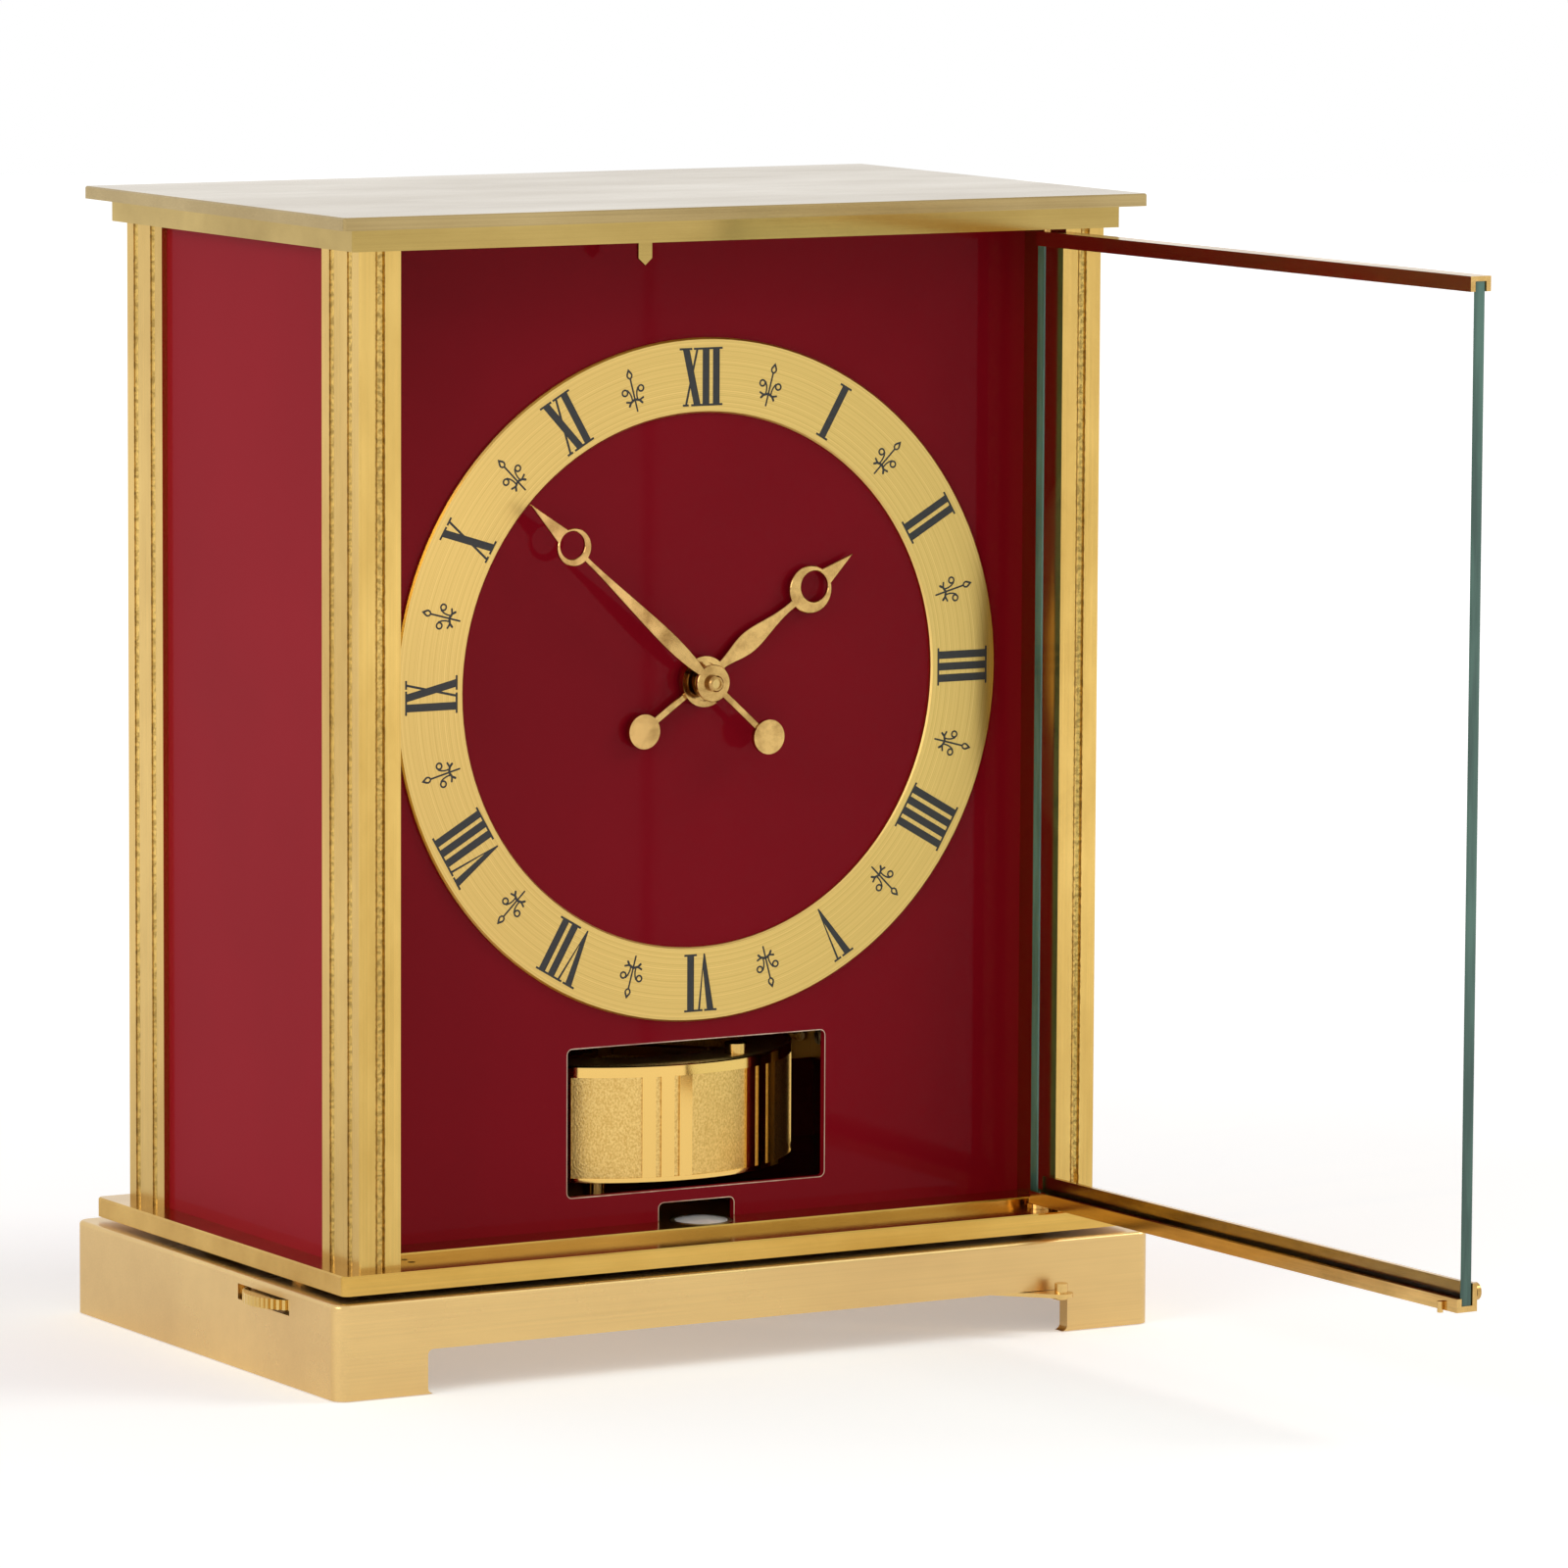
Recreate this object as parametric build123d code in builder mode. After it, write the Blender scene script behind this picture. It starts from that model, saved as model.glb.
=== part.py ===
# Atmospheric mantel clock: a brass and red lacquer case with a glass door, a dial with a
# chapter ring, a torsion pendulum behind a window, and the movement, bellows and lock inside.
# Millimetres. +X is the clock's right as seen from the front, +Y its back, +Z up. The origin
# is the centre of the plinth's footprint, on the surface that the clock stands on.
import os
from math import atan2, cos, degrees, hypot, pi, radians, sin, sqrt

from build123d import *

# Case: overall sizes and levels
CASE_HEIGHT = 235.0
TOP_WIDTH = 185.6
TOP_DEPTH = 116.4
TOP_THICK = 2.6
FRIEZE_WIDTH = 177.4
FRIEZE_DEPTH = 107.8
FRIEZE_THICK = 4.5
FLOOR_WIDTH = 183.8
FLOOR_DEPTH = 112.2
FLOOR_BOTTOM = 20.4
FLOOR_TOP = 24.4
STEP_TOP = 26.0
STEP_HALF_WIDTH = 76.9
STEP_FRONT = -44.8
STEP_BACK = 48.0
PLINTH_WIDTH = 190.4
PLINTH_DEPTH = 119.0
PLINTH_HEIGHT = 19.4
PLINTH_WALL = 3.0
PLINTH_SKIN = 1.5
ARCH_HALF_WIDTH = 74.8
ARCH_HEIGHT = 9.0
FRIEZE_TOP = CASE_HEIGHT - TOP_THICK
FRIEZE_BOTTOM = FRIEZE_TOP - FRIEZE_THICK

# Corner posts
POST_OUTER_X = 86.2
POST_OUTER_Y = 51.9
POST_WIDTH = 9.2
POST_DEPTH = 16.3
POST_INNER_X = POST_OUTER_X - POST_WIDTH
POST_INNER_Y = POST_OUTER_Y - POST_DEPTH
POST_MID_X = POST_OUTER_X - POST_WIDTH / 2
POST_MID_Y = POST_OUTER_Y - POST_DEPTH / 2
COVE_RADIUS = 1.0
COVE_INSET = 4.3
POST_EDGE_ROUND = 0.35

# Panels
PANEL_OUTER_X = 85.0
PANEL_THICK = 2.0
PANEL_TONGUE_Y = 37.3
PANEL_SLOT_WIDTH = 2.05
PANEL_SLOT_DEPTH = 1.8
BACK_PANEL_FRONT = 49.2
BACK_PANEL_THICK = 1.5

# Dial
DIAL_Z = 137.0
DIAL_BACK = -34.1
DIAL_FRONT = -35.6
DIAL_HALF_WIDTH = 82.6
WINDOW_HALF_WIDTH = 30.2
WINDOW_BOTTOM = 32.5
WINDOW_TOP = 63.0
NOTCH_HALF_WIDTH = 8.8
NOTCH_TOP = 29.8
RING_INNER = 54.7
RING_OUTER = 70.0
RING_THICK = 1.0
RING_FRONT = DIAL_FRONT - RING_THICK
ENGRAVING_DEPTH = 0.35
FILLING_RECESS = 0.08
NUMERAL_INNER = 56.1
NUMERAL_OUTER = 68.0
MARK_RADIUS = 59.8

# Hands, as shown at about nine minutes to two
MINUTE_ANGLE = -47.87
HOUR_ANGLE = 55.2
HAND_THICK = 0.8
HOUR_HAND_BACK = -36.8
MINUTE_HAND_BACK = -41.2

# Door, shown open
HINGE_X = 74.0
HINGE_Y = -49.2
DOOR_OPEN_ANGLE = 92.0
DOOR_INNER = -2.1
DOOR_OUTER = 2.7
DOOR_LENGTH = 150.6
GLASS_INNER = -1.0
GLASS_OUTER = 1.6
CHANNEL_LEG = 1.1
DOOR_TOP = 227.3
DOOR_BOTTOM = 25.4
GLASS_TOP = 226.3
GLASS_BOTTOM = 26.6
PIN_RADIUS = 0.95

# Pendulum
PENDULUM_Y = 7.6
PENDULUM_BOTTOM = 33.8
PENDULUM_TOP = 58.2
PENDULUM_OUTER = 41.0
PENDULUM_INNER = 38.0
BAR_GROUPS = 10
BAR_GROUP_ANGLE = -7.4
BAR_PITCH = 5.7
BAR_WIDTH = 2.9

# Movement
FRONT_PLATE_FRONT = -24.5
FRONT_PLATE_BACK = -22.0
BACK_PLATE_FRONT = -6.0
BACK_PLATE_BACK = -4.0
PLATE_BOTTOM = 92.0
PLATE_TOP = 178.0
COLUMN_X = 60.0
COLUMN_Y = -18.0
COLUMN_SIZE = 8.0
COLUMN_TOP = 176.0
MODULE = 0.5
HOUR_MODULE = 0.48
MINUTE_STUD_X = -10.39
MINUTE_STUD_Z = -6.0
ESCAPE_DROP = 22.5
BARREL_X = -11.0
BARREL_DISTANCE = 21.0
BARREL_Z = DIAL_Z + sqrt(BARREL_DISTANCE**2 - BARREL_X**2)
ESCAPE_Z = DIAL_Z - ESCAPE_DROP
ANCHOR_Z = 98.1

# Bellows and chain
DRUM_RADIUS = 33.0
DRUM_FRONT = 13.0
DRUM_BACK = 47.0
CHAIN_X = -6.0
CHAIN_RADIUS = 0.4
PULLEY_Y = 3.0
PULLEY_Z = 140.5
PULLEY_RADIUS = 3.2
WINDING_RADIUS = 4.6

# Levelling wheels and pendulum lock
WHEEL_X = 86.0
WHEEL_Y = -27.3
WHEEL_RADIUS = 12.5
WHEEL_BOTTOM = 14.9
WHEEL_TOP = 17.0
LEVER_X = 34.0
LEVER_Y = -28.0
LEVER_BOTTOM = 8.1
LEVER_TOP = 8.9
GRIP_X = 71.0
GRIP_Y = -63.2
PLUNGER_FOOT = 11.2
PLUNGER_TIP_RADIUS = 0.9
PLUNGER_TIP_LENGTH = 2.0
PAD_TOP = 45.9
RUN = 0.05

UP = (Align.CENTER, Align.CENTER, Align.MIN)
DOWN = (Align.CENTER, Align.CENTER, Align.MAX)

os.makedirs("parts", exist_ok=True)


def save(piece, name):
    """Label a finished piece and write its file."""
    piece.part.label = name
    export_step(piece.part, f"parts/{name}.step")


def level(z):
    """A horizontal plane at height z."""
    return Plane.XY.offset(z)


def front(y, x=0.0, z=0.0, turn=0.0):
    """A plane that faces the front: local y is up, turned clockwise by an angle."""
    a = radians(turn)
    return Plane(origin=(x, y, z), x_dir=(cos(a), 0, -sin(a)), z_dir=(0, -1, 0))


def hinge_plane(z):
    """The open door's own plane: local x runs to its free end, local y to its outer face."""
    a = radians(DOOR_OPEN_ANGLE)
    return Plane(origin=(HINGE_X, HINGE_Y, z), x_dir=(-cos(a), -sin(a), 0), z_dir=(0, 0, 1))


# Plinth: a hollow brass base with bracket feet, arches front and back and a slot each side
SLOT_FRONT = -38.6
SLOT_BACK = -15.9
SLOT_BOTTOM = 14.2
SLOT_TOP = 17.4
CAVITY_TOP = PLINTH_HEIGHT - PLINTH_SKIN
LEDGE_TOP = 13.45
with BuildPart() as plinth:
    with BuildSketch(Plane.XY):
        RectangleRounded(PLINTH_WIDTH, PLINTH_DEPTH, 3.0)
    extrude(amount=PLINTH_HEIGHT)
    fillet(plinth.faces().sort_by(Axis.Z)[-1].edges(), 0.8)
    with BuildSketch(Plane.XY):
        RectangleRounded(PLINTH_WIDTH - 2 * PLINTH_WALL, PLINTH_DEPTH - 2 * PLINTH_WALL, 1.5)
    extrude(amount=CAVITY_TOP, mode=Mode.SUBTRACT)
    with BuildSketch(front(PLINTH_DEPTH / 2)) as arch:
        with Locations((0, ARCH_HEIGHT / 2)):
            Rectangle(2 * ARCH_HALF_WIDTH, ARCH_HEIGHT)
        fillet(arch.vertices().group_by(Axis.Z)[-1], 1.2)
    extrude(amount=PLINTH_DEPTH, mode=Mode.SUBTRACT)
    slot_mid = ((SLOT_FRONT + SLOT_BACK) / 2, (SLOT_BOTTOM + SLOT_TOP) / 2)
    with Locations((0, slot_mid[0], slot_mid[1])):
        Box(PLINTH_WIDTH, SLOT_BACK - SLOT_FRONT, SLOT_TOP - SLOT_BOTTOM, mode=Mode.SUBTRACT)
    for side in (-1, 1):
        with Locations((side * 84.1, WHEEL_Y, LEDGE_TOP)):
            Box(16.2, 15.4, 2.45, align=DOWN)
        with Locations((side * WHEEL_X, WHEEL_Y, CAVITY_TOP - 0.5)):
            Cylinder(3.2, 3.0, align=UP, mode=Mode.SUBTRACT)
    with Locations((0, PENDULUM_Y, CAVITY_TOP - 0.5)):
        Cylinder(4.0, 3.0, align=UP, mode=Mode.SUBTRACT)
    with Locations((LEVER_X, LEVER_Y, CAVITY_TOP)):
        Cylinder(4.0, CAVITY_TOP - 9.0, align=DOWN)
    with Locations((LEVER_X, LEVER_Y, 9.0)):
        Cylinder(2.0, 6.0, align=UP, mode=Mode.SUBTRACT)
save(plinth, "plinth")

# Rest pads: two discs that carry the case at the back, level with the two screws in front
with BuildPart() as rear_rest_pads:
    with Locations((-70, 40, PLINTH_HEIGHT), (70, 40, PLINTH_HEIGHT)):
        Cylinder(4.0, FLOOR_BOTTOM - PLINTH_HEIGHT, align=UP)
save(rear_rest_pads, "rear_rest_pads")

# Floor plate: a brass plate with a raised step, the level's well and the fixing holes
LEVEL_Y = -37.6
LEVEL_WELL = 6.6
LEVEL_BOTTOM = 21.4
LEVEL_RIM = 26.1
LATCH_X = -71.65
LATCH_Y = -46.4
with BuildPart() as floor_plate:
    with BuildSketch(level(FLOOR_BOTTOM)):
        RectangleRounded(FLOOR_WIDTH, FLOOR_DEPTH, 1.5)
    extrude(amount=FLOOR_TOP - FLOOR_BOTTOM)
    chamfer(floor_plate.faces().sort_by(Axis.Z)[-1].edges(), 0.3)
    with BuildSketch(level(FLOOR_TOP)):
        with Locations((0, (STEP_FRONT + STEP_BACK) / 2)):
            Rectangle(2 * STEP_HALF_WIDTH, STEP_BACK - STEP_FRONT)
    extrude(amount=STEP_TOP - FLOOR_TOP)
    chamfer(floor_plate.faces().sort_by(Axis.Z)[-1].edges().sort_by(Axis.Y)[0], 0.3)
    with Locations((0, LEVEL_Y, LEVEL_BOTTOM)):
        Cylinder(LEVEL_WELL, 10.0, align=UP, mode=Mode.SUBTRACT)
    with Locations((0, PENDULUM_Y, FLOOR_BOTTOM)):
        Cylinder(2.5 + RUN, 10.0, align=UP, mode=Mode.SUBTRACT)
    with Locations((HINGE_X, HINGE_Y, 21.8)):
        Cylinder(PIN_RADIUS + RUN, 10.0, align=UP, mode=Mode.SUBTRACT)
    with Locations((LATCH_X, LATCH_Y, FLOOR_TOP - 1.5)):
        Cylinder(0.8, 3.0, align=UP, mode=Mode.SUBTRACT)
    with Locations((-WHEEL_X, WHEEL_Y, 23.5), (WHEEL_X, WHEEL_Y, 23.5)):
        Cylinder(2.5 + RUN, 5.0, align=DOWN, mode=Mode.SUBTRACT)
    with Locations(Plane(origin=(0, 0, FLOOR_BOTTOM), x_dir=(1, 0, 0), z_dir=(0, 0, -1))):
        with GridLocations(2 * POST_MID_X, 2 * POST_MID_Y, 2, 2):
            CounterSinkHole(radius=1.5, counter_sink_radius=3.0)
        with Locations((-COLUMN_X, -COLUMN_Y), (COLUMN_X, -COLUMN_Y)):
            CounterSinkHole(radius=1.5, counter_sink_radius=3.0)
save(floor_plate, "floor_plate")

# Spirit level: a brass cup in the floor's well and the vial's domed glass in the cup
CUP_FLOOR = 22.4
with BuildPart() as level_cup:
    with Locations((0, LEVEL_Y, LEVEL_BOTTOM)):
        Cylinder(6.4, LEVEL_RIM - LEVEL_BOTTOM, align=UP)
    with Locations((0, LEVEL_Y, CUP_FLOOR)):
        Cylinder(5.5, 5.0, align=UP, mode=Mode.SUBTRACT)
    chamfer(level_cup.faces().sort_by(Axis.Z)[-1].edges(), 0.2)
save(level_cup, "level_cup")

LENS_RADIUS = 5.45
LENS_RISE = 0.7
LENS_CROWN = LEVEL_RIM + LENS_RISE
LENS_CURVE = (LENS_RADIUS**2 + LENS_RISE**2) / (2 * LENS_RISE)
with BuildPart() as level_lens:
    with BuildSketch(Plane.XZ.offset(-LEVEL_Y)):
        with BuildLine():
            Polyline((0, LENS_CROWN), (0, CUP_FLOOR), (LENS_RADIUS, CUP_FLOOR), (LENS_RADIUS, LEVEL_RIM))
            RadiusArc((LENS_RADIUS, LEVEL_RIM), (0, LENS_CROWN), -LENS_CURVE)
        make_face()
    revolve(axis=Axis((0, LEVEL_Y, 0), (0, 0, 1)))
save(level_lens, "level_lens")

# Corner posts: square bars with coves on the outer faces and a slot for the side panel
DIAL_SCREW_X = 79.8
DIAL_SCREW_ZS = (60.0, 200.0)
BRACKET_ZS = (48.0, 204.0)
BRACKET_SCREW_Y = 43.5


def corner_post(side, end):
    """A post on one side (-1 left, 1 right) and at one end (-1 front, 1 back)."""
    slot_x = PANEL_OUTER_X - PANEL_THICK / 2
    cove_ys = [POST_OUTER_Y - COVE_INSET, POST_INNER_Y + COVE_INSET]
    with BuildPart() as post:
        with BuildSketch(level(FLOOR_TOP)) as section:
            with Locations((side * POST_MID_X, end * POST_MID_Y)):
                Rectangle(POST_WIDTH, POST_DEPTH)
            outer = section.vertices().group_by(Axis.X)[0 if side < 0 else -1]
            fillet(outer.sort_by(Axis.Y)[0 if end < 0 else -1], POST_EDGE_ROUND)
            with Locations(*[(side * POST_OUTER_X, end * y) for y in cove_ys]):
                Circle(COVE_RADIUS, mode=Mode.SUBTRACT)
            with Locations((side * POST_MID_X, end * POST_OUTER_Y)):
                Circle(COVE_RADIUS, mode=Mode.SUBTRACT)
            with Locations((side * slot_x, end * POST_INNER_Y)):
                Rectangle(PANEL_SLOT_WIDTH, 2 * PANEL_SLOT_DEPTH, mode=Mode.SUBTRACT)
        extrude(amount=FRIEZE_BOTTOM - FLOOR_TOP)
        with Locations((side * POST_MID_X, end * POST_MID_Y, FLOOR_TOP)):
            Cylinder(1.5, 12.0, align=UP, mode=Mode.SUBTRACT)
        with Locations((side * POST_MID_X, end * POST_MID_Y, FRIEZE_BOTTOM)):
            Cylinder(1.5, 12.0, align=DOWN, mode=Mode.SUBTRACT)
        if end < 0:
            for z in DIAL_SCREW_ZS:
                with Locations(Plane(origin=(side * DIAL_SCREW_X, DIAL_FRONT, z), z_dir=(0, -1, 0))):
                    Cylinder(1.0, 7.0, align=UP, mode=Mode.SUBTRACT)
        else:
            for z in BRACKET_ZS:
                mouth = (side * POST_INNER_X, BRACKET_SCREW_Y, z)
                with Locations(Plane(origin=mouth, z_dir=(side, 0, 0))):
                    Cylinder(0.8, 4.0, align=UP, mode=Mode.SUBTRACT)
    return post


for post_name, post_side, post_end in (
    ("front_left_post", -1, -1),
    ("front_right_post", 1, -1),
    ("back_left_post", -1, 1),
    ("back_right_post", 1, 1),
):
    save(corner_post(post_side, post_end), post_name)

# Frieze and top plate
with BuildPart() as frieze_plate:
    with BuildSketch(level(FRIEZE_BOTTOM)):
        RectangleRounded(FRIEZE_WIDTH, FRIEZE_DEPTH, 0.5)
    extrude(amount=FRIEZE_THICK)
    with Locations((HINGE_X, HINGE_Y, FRIEZE_BOTTOM + 2.6)):
        Cylinder(PIN_RADIUS + RUN, 5.0, align=DOWN, mode=Mode.SUBTRACT)
    with Locations(level(FRIEZE_TOP)):
        with GridLocations(2 * POST_MID_X, 2 * POST_MID_Y, 2, 2):
            CounterSinkHole(radius=1.5, counter_sink_radius=3.0)
    with Locations(*[(x, y, FRIEZE_BOTTOM) for x in (-60, 60) for y in (-28, 40)]):
        Cylinder(1.25, 20.0, mode=Mode.SUBTRACT)
save(frieze_plate, "frieze_plate")

with BuildPart() as top_plate:
    with BuildSketch(level(FRIEZE_TOP)):
        RectangleRounded(TOP_WIDTH, TOP_DEPTH, 0.8)
    extrude(amount=TOP_THICK)
    chamfer(top_plate.faces().sort_by(Axis.Z)[-1].edges(), 0.3)
    with Locations(*[(x, y, FRIEZE_TOP) for x in (-60, 60) for y in (-28, 40)]):
        Cylinder(1.25, 1.5, align=UP, mode=Mode.SUBTRACT)
save(top_plate, "top_plate")

# Door stop: a small pointed tab under the front of the frieze
with BuildPart() as door_stop:
    with BuildSketch(front(-46.1, -19.0, FRIEZE_BOTTOM)):
        Polygon((-1.55, 0), (-1.55, -3.6), (0, -5.0), (1.55, -3.6), (1.55, 0), align=None)
    extrude(amount=0.8)
save(door_stop, "door_stop")

# Side and back panels in red lacquer
for panel_name, panel_side in (("left_side_panel", -1), ("right_side_panel", 1)):
    with BuildPart() as side_panel:
        with BuildSketch(level(FLOOR_TOP)):
            with Locations((panel_side * (PANEL_OUTER_X - PANEL_THICK / 2), 0)):
                Rectangle(PANEL_THICK, 2 * PANEL_TONGUE_Y)
        extrude(amount=FRIEZE_BOTTOM - FLOOR_TOP)
    save(side_panel, panel_name)

BACK_SCREW_X = 72.0
with BuildPart() as back_panel:
    with BuildSketch(front(BACK_PANEL_FRONT + BACK_PANEL_THICK)):
        with Locations((0, (FLOOR_TOP + FRIEZE_BOTTOM) / 2)):
            Rectangle(2 * POST_INNER_X - 0.2, FRIEZE_BOTTOM - FLOOR_TOP)
        with Locations(*[(s * BACK_SCREW_X, z) for s in (-1, 1) for z in BRACKET_ZS]):
            Circle(1.0, mode=Mode.SUBTRACT)
    extrude(amount=BACK_PANEL_THICK)
save(back_panel, "back_panel")

with BuildPart() as back_panel_brackets:
    for side in (-1, 1):
        for z in BRACKET_ZS:
            with BuildSketch(level(z - 5.0)):
                Polygon(
                    (side * POST_INNER_X, 40.0),
                    (side * POST_INNER_X, BACK_PANEL_FRONT),
                    (side * 67.5, BACK_PANEL_FRONT),
                    (side * 67.5, BACK_PANEL_FRONT - 1.4),
                    (side * (POST_INNER_X - 1.4), BACK_PANEL_FRONT - 1.4),
                    (side * (POST_INNER_X - 1.4), 40.0),
                    align=None,
                )
            extrude(amount=10.0)
            with Locations(Plane(origin=(side * BACK_SCREW_X, BACK_PANEL_FRONT, z), z_dir=(0, 1, 0))):
                Cylinder(1.0, 6.0, mode=Mode.SUBTRACT)
            with Locations(Plane(origin=(side * POST_INNER_X, BRACKET_SCREW_Y, z), z_dir=(1, 0, 0))):
                Cylinder(0.8, 6.0, mode=Mode.SUBTRACT)
save(back_panel_brackets, "back_panel_brackets")


def screw(head_face, drive, head_radius, head_height, shank_radius, length, slot_turn=0.0):
    """A cheese-head screw: its head stands back from head_face, its shank runs along drive."""
    seat = Plane(origin=head_face, z_dir=drive)
    with Locations(seat):
        Cylinder(shank_radius, length, align=UP)
        Cylinder(head_radius, head_height, align=DOWN)
    with Locations(seat * Location((0, 0, -head_height), (0, 0, slot_turn))):
        Box(2.2 * head_radius, 0.22 * head_radius, 0.8 * head_height, mode=Mode.SUBTRACT)


def flat_screw(face_point, drive, head_radius, shank_radius, length):
    """A countersunk screw whose head lies flush with the face at face_point."""
    depth = head_radius - shank_radius
    with Locations(Plane(origin=face_point, z_dir=drive)):
        Cone(head_radius, shank_radius, depth / sin(radians(41)) * cos(radians(41)), align=UP)
        Cylinder(shank_radius, length, align=UP)
        Box(2.2 * head_radius, 0.6, 0.8, mode=Mode.SUBTRACT)


BACK_SCREW_FACE = BACK_PANEL_FRONT + BACK_PANEL_THICK
with BuildPart() as back_panel_screws:
    for side in (-1, 1):
        for z in BRACKET_ZS:
            screw((side * BACK_SCREW_X, BACK_SCREW_FACE, z), (0, -1, 0), 2.2, 1.2, 1.0, 4.4, 25 * side)
save(back_panel_screws, "back_panel_screws")

# Screws of the frame: posts, columns, top plate, dial, movement, brackets and lock lever
with BuildPart() as frame_screws:
    for x in (-POST_MID_X, POST_MID_X):
        for y in (-POST_MID_Y, POST_MID_Y):
            flat_screw((x, y, FLOOR_BOTTOM), (0, 0, 1), 3.0, 1.5, 15.0)
            flat_screw((x, y, FRIEZE_TOP), (0, 0, -1), 3.0, 1.5, 15.0)
    for x in (-60, 60):
        flat_screw((x, COLUMN_Y, FLOOR_BOTTOM), (0, 0, 1), 3.0, 1.5, 15.0)
        for y in (-28, 40):
            screw((x, y, FRIEZE_BOTTOM), (0, 0, 1), 2.4, 1.4, 1.25, 6.0)
        for z in (104.0, 168.0):
            screw((x, FRONT_PLATE_FRONT, z), (0, 1, 0), 2.4, 1.4, 1.25, 7.0)
    for side in (-1, 1):
        for z in DIAL_SCREW_ZS:
            screw((side * DIAL_SCREW_X, DIAL_BACK, z), (0, -1, 0), 1.9, 1.2, 1.0, 8.0)
        for z in BRACKET_ZS:
            head = (side * (POST_INNER_X - 1.4), BRACKET_SCREW_Y, z)
            screw(head, (side, 0, 0), 1.6, 0.9, 0.8, 5.0)
    screw((LEVER_X, LEVER_Y, LEVER_BOTTOM - RUN), (0, 0, 1), 3.4, 1.2, 2.0, 6.0)
save(frame_screws, "frame_screws")

# Dial plate: red lacquer, with the pendulum window, the level's notch and the arbor's hole
with BuildPart() as dial_plate:
    with BuildSketch(front(DIAL_BACK)):
        with Locations((0, (STEP_TOP + FRIEZE_BOTTOM) / 2)):
            Rectangle(2 * DIAL_HALF_WIDTH, FRIEZE_BOTTOM - STEP_TOP)
        with Locations((0, (WINDOW_BOTTOM + WINDOW_TOP) / 2)):
            RectangleRounded(2 * WINDOW_HALF_WIDTH, WINDOW_TOP - WINDOW_BOTTOM, 0.8, mode=Mode.SUBTRACT)
        with Locations((0, NOTCH_TOP - 5.0)):
            RectangleRounded(2 * NOTCH_HALF_WIDTH, 10.0, 0.8, mode=Mode.SUBTRACT)
        with Locations((0, DIAL_Z)):
            Circle(3.0, mode=Mode.SUBTRACT)
        with Locations(*[(s * DIAL_SCREW_X, z) for s in (-1, 1) for z in DIAL_SCREW_ZS]):
            Circle(1.0, mode=Mode.SUBTRACT)
    extrude(amount=DIAL_BACK - DIAL_FRONT)
save(dial_plate, "dial_plate")

# Roman numerals: thick and thin strokes with joined serifs, tops outward
THICK_STROKE = 1.6
THIN_STROKE = 0.5
SERIF_HEIGHT = 0.45
LETTER_PITCH = {"I": 2.4, "V": 4.26, "X": 4.26}
NUMERALS = ("XII", "I", "II", "III", "IIII", "V", "VI", "VII", "VIII", "IX", "X", "XI")


def stroke(inner_x, outer_x, width):
    """A straight stroke across the full height of a numeral."""
    half = width / 2
    Polygon(
        (inner_x - half, NUMERAL_INNER),
        (inner_x + half, NUMERAL_INNER),
        (outer_x + half, NUMERAL_OUTER),
        (outer_x - half, NUMERAL_OUTER),
        align=None,
    )


def serif(x, reach, outer):
    """A serif at the outer or inner end of a stroke."""
    radius = NUMERAL_OUTER - SERIF_HEIGHT / 2 if outer else NUMERAL_INNER + SERIF_HEIGHT / 2
    with Locations((x, radius)):
        Rectangle(2 * reach, SERIF_HEIGHT)


def letter(kind, x):
    """One letter of a numeral, centred on x."""
    if kind == "I":
        stroke(x, x, THICK_STROKE)
        serif(x, 1.48, True)
        serif(x, 1.48, False)
        return
    serif(x - 1.36, 1.48, True)
    serif(x + 1.36, 0.9, True)
    if kind == "X":
        stroke(x + 1.36, x - 1.36, THICK_STROKE)
        stroke(x - 1.36, x + 1.36, THIN_STROKE)
        serif(x + 1.36, 1.48, False)
        serif(x - 1.36, 0.7, False)
    else:
        Polygon(
            (x - 0.02, NUMERAL_INNER),
            (x + 0.3, NUMERAL_INNER),
            (x + 1.61, NUMERAL_OUTER),
            (x + 1.11, NUMERAL_OUTER),
            (x + 0.42, NUMERAL_INNER + 3.4),
            (x - 0.56, NUMERAL_OUTER),
            (x - 2.16, NUMERAL_OUTER),
            align=None,
        )


def numeral(hour):
    """A numeral's outline, on the ring's front face at its hour."""
    text = NUMERALS[hour]
    x = -sum(LETTER_PITCH[c] for c in text) / 2
    with BuildSketch(front(RING_FRONT, 0, DIAL_Z, 30.0 * hour)) as outline:
        for c in text:
            x += LETTER_PITCH[c] / 2
            letter(c, x)
            x += LETTER_PITCH[c] / 2
    return outline.sketch


def line_stroke(start, end, width):
    """A straight round-ended stroke between two points."""
    length = hypot(end[0] - start[0], end[1] - start[1])
    turn = degrees(atan2(end[1] - start[1], end[0] - start[0]))
    with Locations(((start[0] + end[0]) / 2, (start[1] + end[1]) / 2)):
        SlotCenterToCenter(length, width, rotation=turn)


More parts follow.
